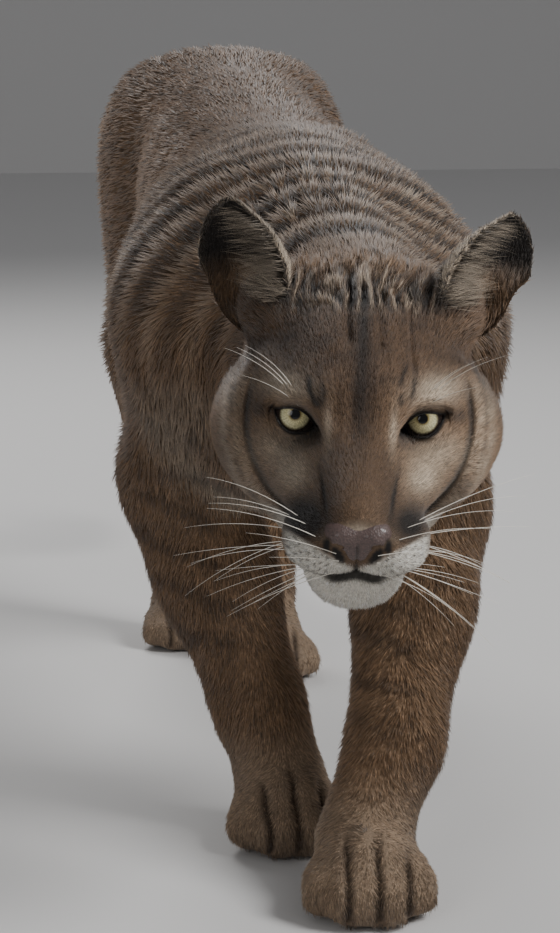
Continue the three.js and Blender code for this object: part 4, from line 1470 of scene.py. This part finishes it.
def damp_skin(name, colour, roughness, scale, depth):
    """Bare, slightly moist skin with a fine cobbled grain."""
    material = plain_material(name, colour, roughness)
    tree = material.node_tree
    shader = tree.nodes["Principled BSDF"]
    place = tree.nodes.new("ShaderNodeTexCoord")
    cells = tree.nodes.new("ShaderNodeTexVoronoi")
    cells.inputs["Scale"].default_value = scale
    raised = tree.nodes.new("ShaderNodeBump")
    raised.inputs["Strength"].default_value = 0.7
    raised.inputs["Distance"].default_value = depth
    tint = tree.nodes.new("ShaderNodeMix")
    tint.data_type = "RGBA"
    tint.inputs["A"].default_value = (*colour, 1)
    tint.inputs["B"].default_value = (*[c * 0.45 for c in colour], 1)
    link = tree.links.new
    link(place.outputs["Object"], cells.inputs["Vector"])
    link(cells.outputs["Distance"], raised.inputs["Height"])
    link(raised.outputs["Normal"], shader.inputs["Normal"])
    link(cells.outputs["Distance"], tint.inputs["Factor"])
    link(tint.outputs["Result"], shader.inputs["Base Color"])
    shader.inputs["Coat Weight"].default_value = 0.25
    return material


rim_material = damp_skin("lid rim", (0.014, 0.01, 0.009), 0.35, 900, 0.0002)
for side in (1, -1):
    turns = [i / RIM_POINTS for i in range(RIM_POINTS)]
    radii = [RIM_RADIUS * (1.25 if math.sin(t * 2 * math.pi) > 0 else 0.9) for t in turns]
    rim_mesh = tube(sided("lid_rim", side), [rim_place(side, t) for t in turns], radii, True)
    rim_mesh.shade_smooth()
    rim_mesh.materials.append(rim_material)
    rim = new_object(rim_mesh.name, rim_mesh)
    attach(rim, "root")
    print(rim.name, "has", len(rim_mesh.polygons), "faces")

# %% [markdown]
# ## Nose pad
# The pad is bare leathery skin. The frame's pad has the right form in coarse facets, so a merged copy
# is rounded by a subdivision surface and gets a cobbled, moist grain. The nostrils and the groove
# below the middle are pressed in and darkened with painted shade.

# %% Nose pad
NOSE_SKIN = (0.1, 0.06, 0.052)
NOSTRIL_DEPTH, GROOVE_DEPTH = 0.003, 0.0014

nose = joined_copy("nose_pad", ["nose"], 0.0003)
nose.modifiers.new("rounded", "SUBSURF").levels = 3
nose.modifiers["rounded"].render_levels = 3
with_modifiers_applied(nose)
nose.data.shade_smooth()


def nose_groove(points):
    """The groove that parts the pad below its middle."""
    return bump(to_head(points)[:, 0] / 0.0012) * ramp(-0.079 - face_plane(points)[1], 0, 0.005)


points = read(nose.data)
nostrils, groove = nostril_commas(points), nose_groove(points)
dug = NOSTRIL_DEPTH * nostrils + GROOVE_DEPTH * groove
write(nose.data, points - normals_of(nose.data) * dug[:, None])
leather = np.tile(np.array(NOSE_SKIN), (len(points), 1))
# Painted shade: the nostril openings and the groove are painted nearly black.
leather = tinted(leather, BLACK, 0.97 * ramp(nostrils, 0.1, 0.5))
leather = tinted(leather, BLACK, 0.8 * groove)
leather = tinted(leather, BROWN, 0.7 * ramp(-0.09 - face_plane(points)[1], 0, 0.008))
give_colour(nose.data, leather)
nose.data.materials.clear()
nose_material = damp_skin("nose leather", NOSE_SKIN, 0.55, 700, 0.0006)
painted = nose_material.node_tree.nodes.new("ShaderNodeVertexColor")
painted.layer_name = "coat"
darker = nose_material.node_tree.nodes["Mix"]
nose_material.node_tree.links.new(painted.outputs["Color"], darker.inputs["A"])
nose.data.materials.append(nose_material)
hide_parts("nose")
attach(nose, "root")
print("nose pad:", len(nose.data.polygons), "faces, dug in by up to", round(float(dug.max()) * 1000, 1), "mm")

# %% [markdown]
# ## Whiskers and brow hairs
# Whiskers are stiff, pale and tapered, and spring in rows from the pads, out, back and a little down.
# A few finer ones stand over the eyes. Each is a thin tube with its root in the skin.

# %% Whiskers and brow hairs
WHISKER_ROWS, WHISKERS_IN_ROW = 4, 5
WHISKER_RADIUS = 0.00034
WHISKER_ROOT = 0.002
BROW_HAIRS = 4


def nearest_on_skin(place):
    front = skin_points[:skin_vertices]
    index = int(np.argmin(np.sum((front - place) ** 2, axis=1)))
    return front[index], skin_normals[index]


def whisker(root, out, droop, length, radius):
    out = out / np.linalg.norm(out)
    steps = np.linspace(0, 1, 12)
    places = [root + out * (length * t - WHISKER_ROOT) + droop * length * t * t for t in steps]
    radii = [radius * (1 - 0.8 * t) for t in steps]
    return tube("whisker", places, radii, False)


def join_meshes(name, meshes, material):
    bm = bmesh.new()
    for mesh in meshes:
        bm.from_mesh(mesh)
        bpy.data.meshes.remove(mesh)
    joined = bpy.data.meshes.new(name)
    bm.to_mesh(joined)
    bm.free()
    joined.shade_smooth()
    joined.materials.clear()
    joined.materials.append(material)
    made = new_object(name, joined)
    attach(made, "root")


def side_whiskers(side, draw):
    meshes = []
    for row in range(WHISKER_ROWS):
        for place in range(WHISKERS_IN_ROW):
            s = side * (0.017 + 0.0048 * place)
            forward = 0.086 - 0.007 * place - 0.0015 * row
            up = -0.043 - 0.0052 * row - 0.0006 * place
            root, normal = nearest_on_skin(from_head(s, forward, up))
            fan = 0.3 - 0.22 * row + draw.normal(0, 0.06)
            out = TURN @ np.array([side * 1.0, 0.28 + draw.normal(0, 0.08), fan]) + normal * 0.35
            droop = TURN @ np.array([side * -0.02, 0.1, -0.16 - draw.uniform(0, 0.2)])
            length = draw.uniform(0.06, 0.105) * (0.8 + 0.06 * place)
            meshes.append(whisker(root, out, droop, length, WHISKER_RADIUS))
    for hair in range(BROW_HAIRS):
        over_eye = from_head(side * (0.04 + 0.004 * hair), 0.0, 0.024 + 0.002 * hair)
        root, normal = nearest_on_skin(over_eye)
        out = TURN @ np.array([side * (0.3 + 0.15 * hair), 0.1, 1.0]) + normal * 0.5
        droop = TURN @ np.array([side * 0.2, -0.05, -0.15])
        meshes.append(whisker(root, out, droop, draw.uniform(0.04, 0.06), WHISKER_RADIUS * 0.8))
    return meshes


def whisker_material():
    material = plain_material("whisker", (0.8, 0.76, 0.68), 0.4)
    tree = material.node_tree
    noise = tree.nodes.new("ShaderNodeTexNoise")
    noise.inputs["Scale"].default_value = 60
    tint = tree.nodes.new("ShaderNodeMix")
    tint.data_type = "RGBA"
    tint.inputs["A"].default_value = (0.86, 0.83, 0.76, 1)
    tint.inputs["B"].default_value = (0.6, 0.54, 0.45, 1)
    place = tree.nodes.new("ShaderNodeTexCoord")
    tree.links.new(place.outputs["Object"], noise.inputs["Vector"])
    tree.links.new(noise.outputs["Fac"], tint.inputs["Factor"])
    tree.links.new(tint.outputs["Result"], tree.nodes["Principled BSDF"].inputs["Base Color"])
    return material


whisker_look = whisker_material()
for side in (1, -1):
    hairs = side_whiskers(side, np.random.default_rng(50 + side))
    join_meshes(sided("whiskers", side), hairs, whisker_look)
print("whiskers on each side:", WHISKER_ROWS * WHISKERS_IN_ROW, "and over each eye:", BROW_HAIRS)

# %% [markdown]
# ## Sizes
# The dressed model is meant to stay inside the frame's box, apart from a few millimetres of hair and
# whisker, so how far it stands proud on each side is printed.

# %% Sizes
low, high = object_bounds()
proud = [(a - b) * 1000 for a, b in zip((*cad_low, *high), (*low, *cad_high))]
print("proud of the box, mm:", [round(value, 1) for value in proud])
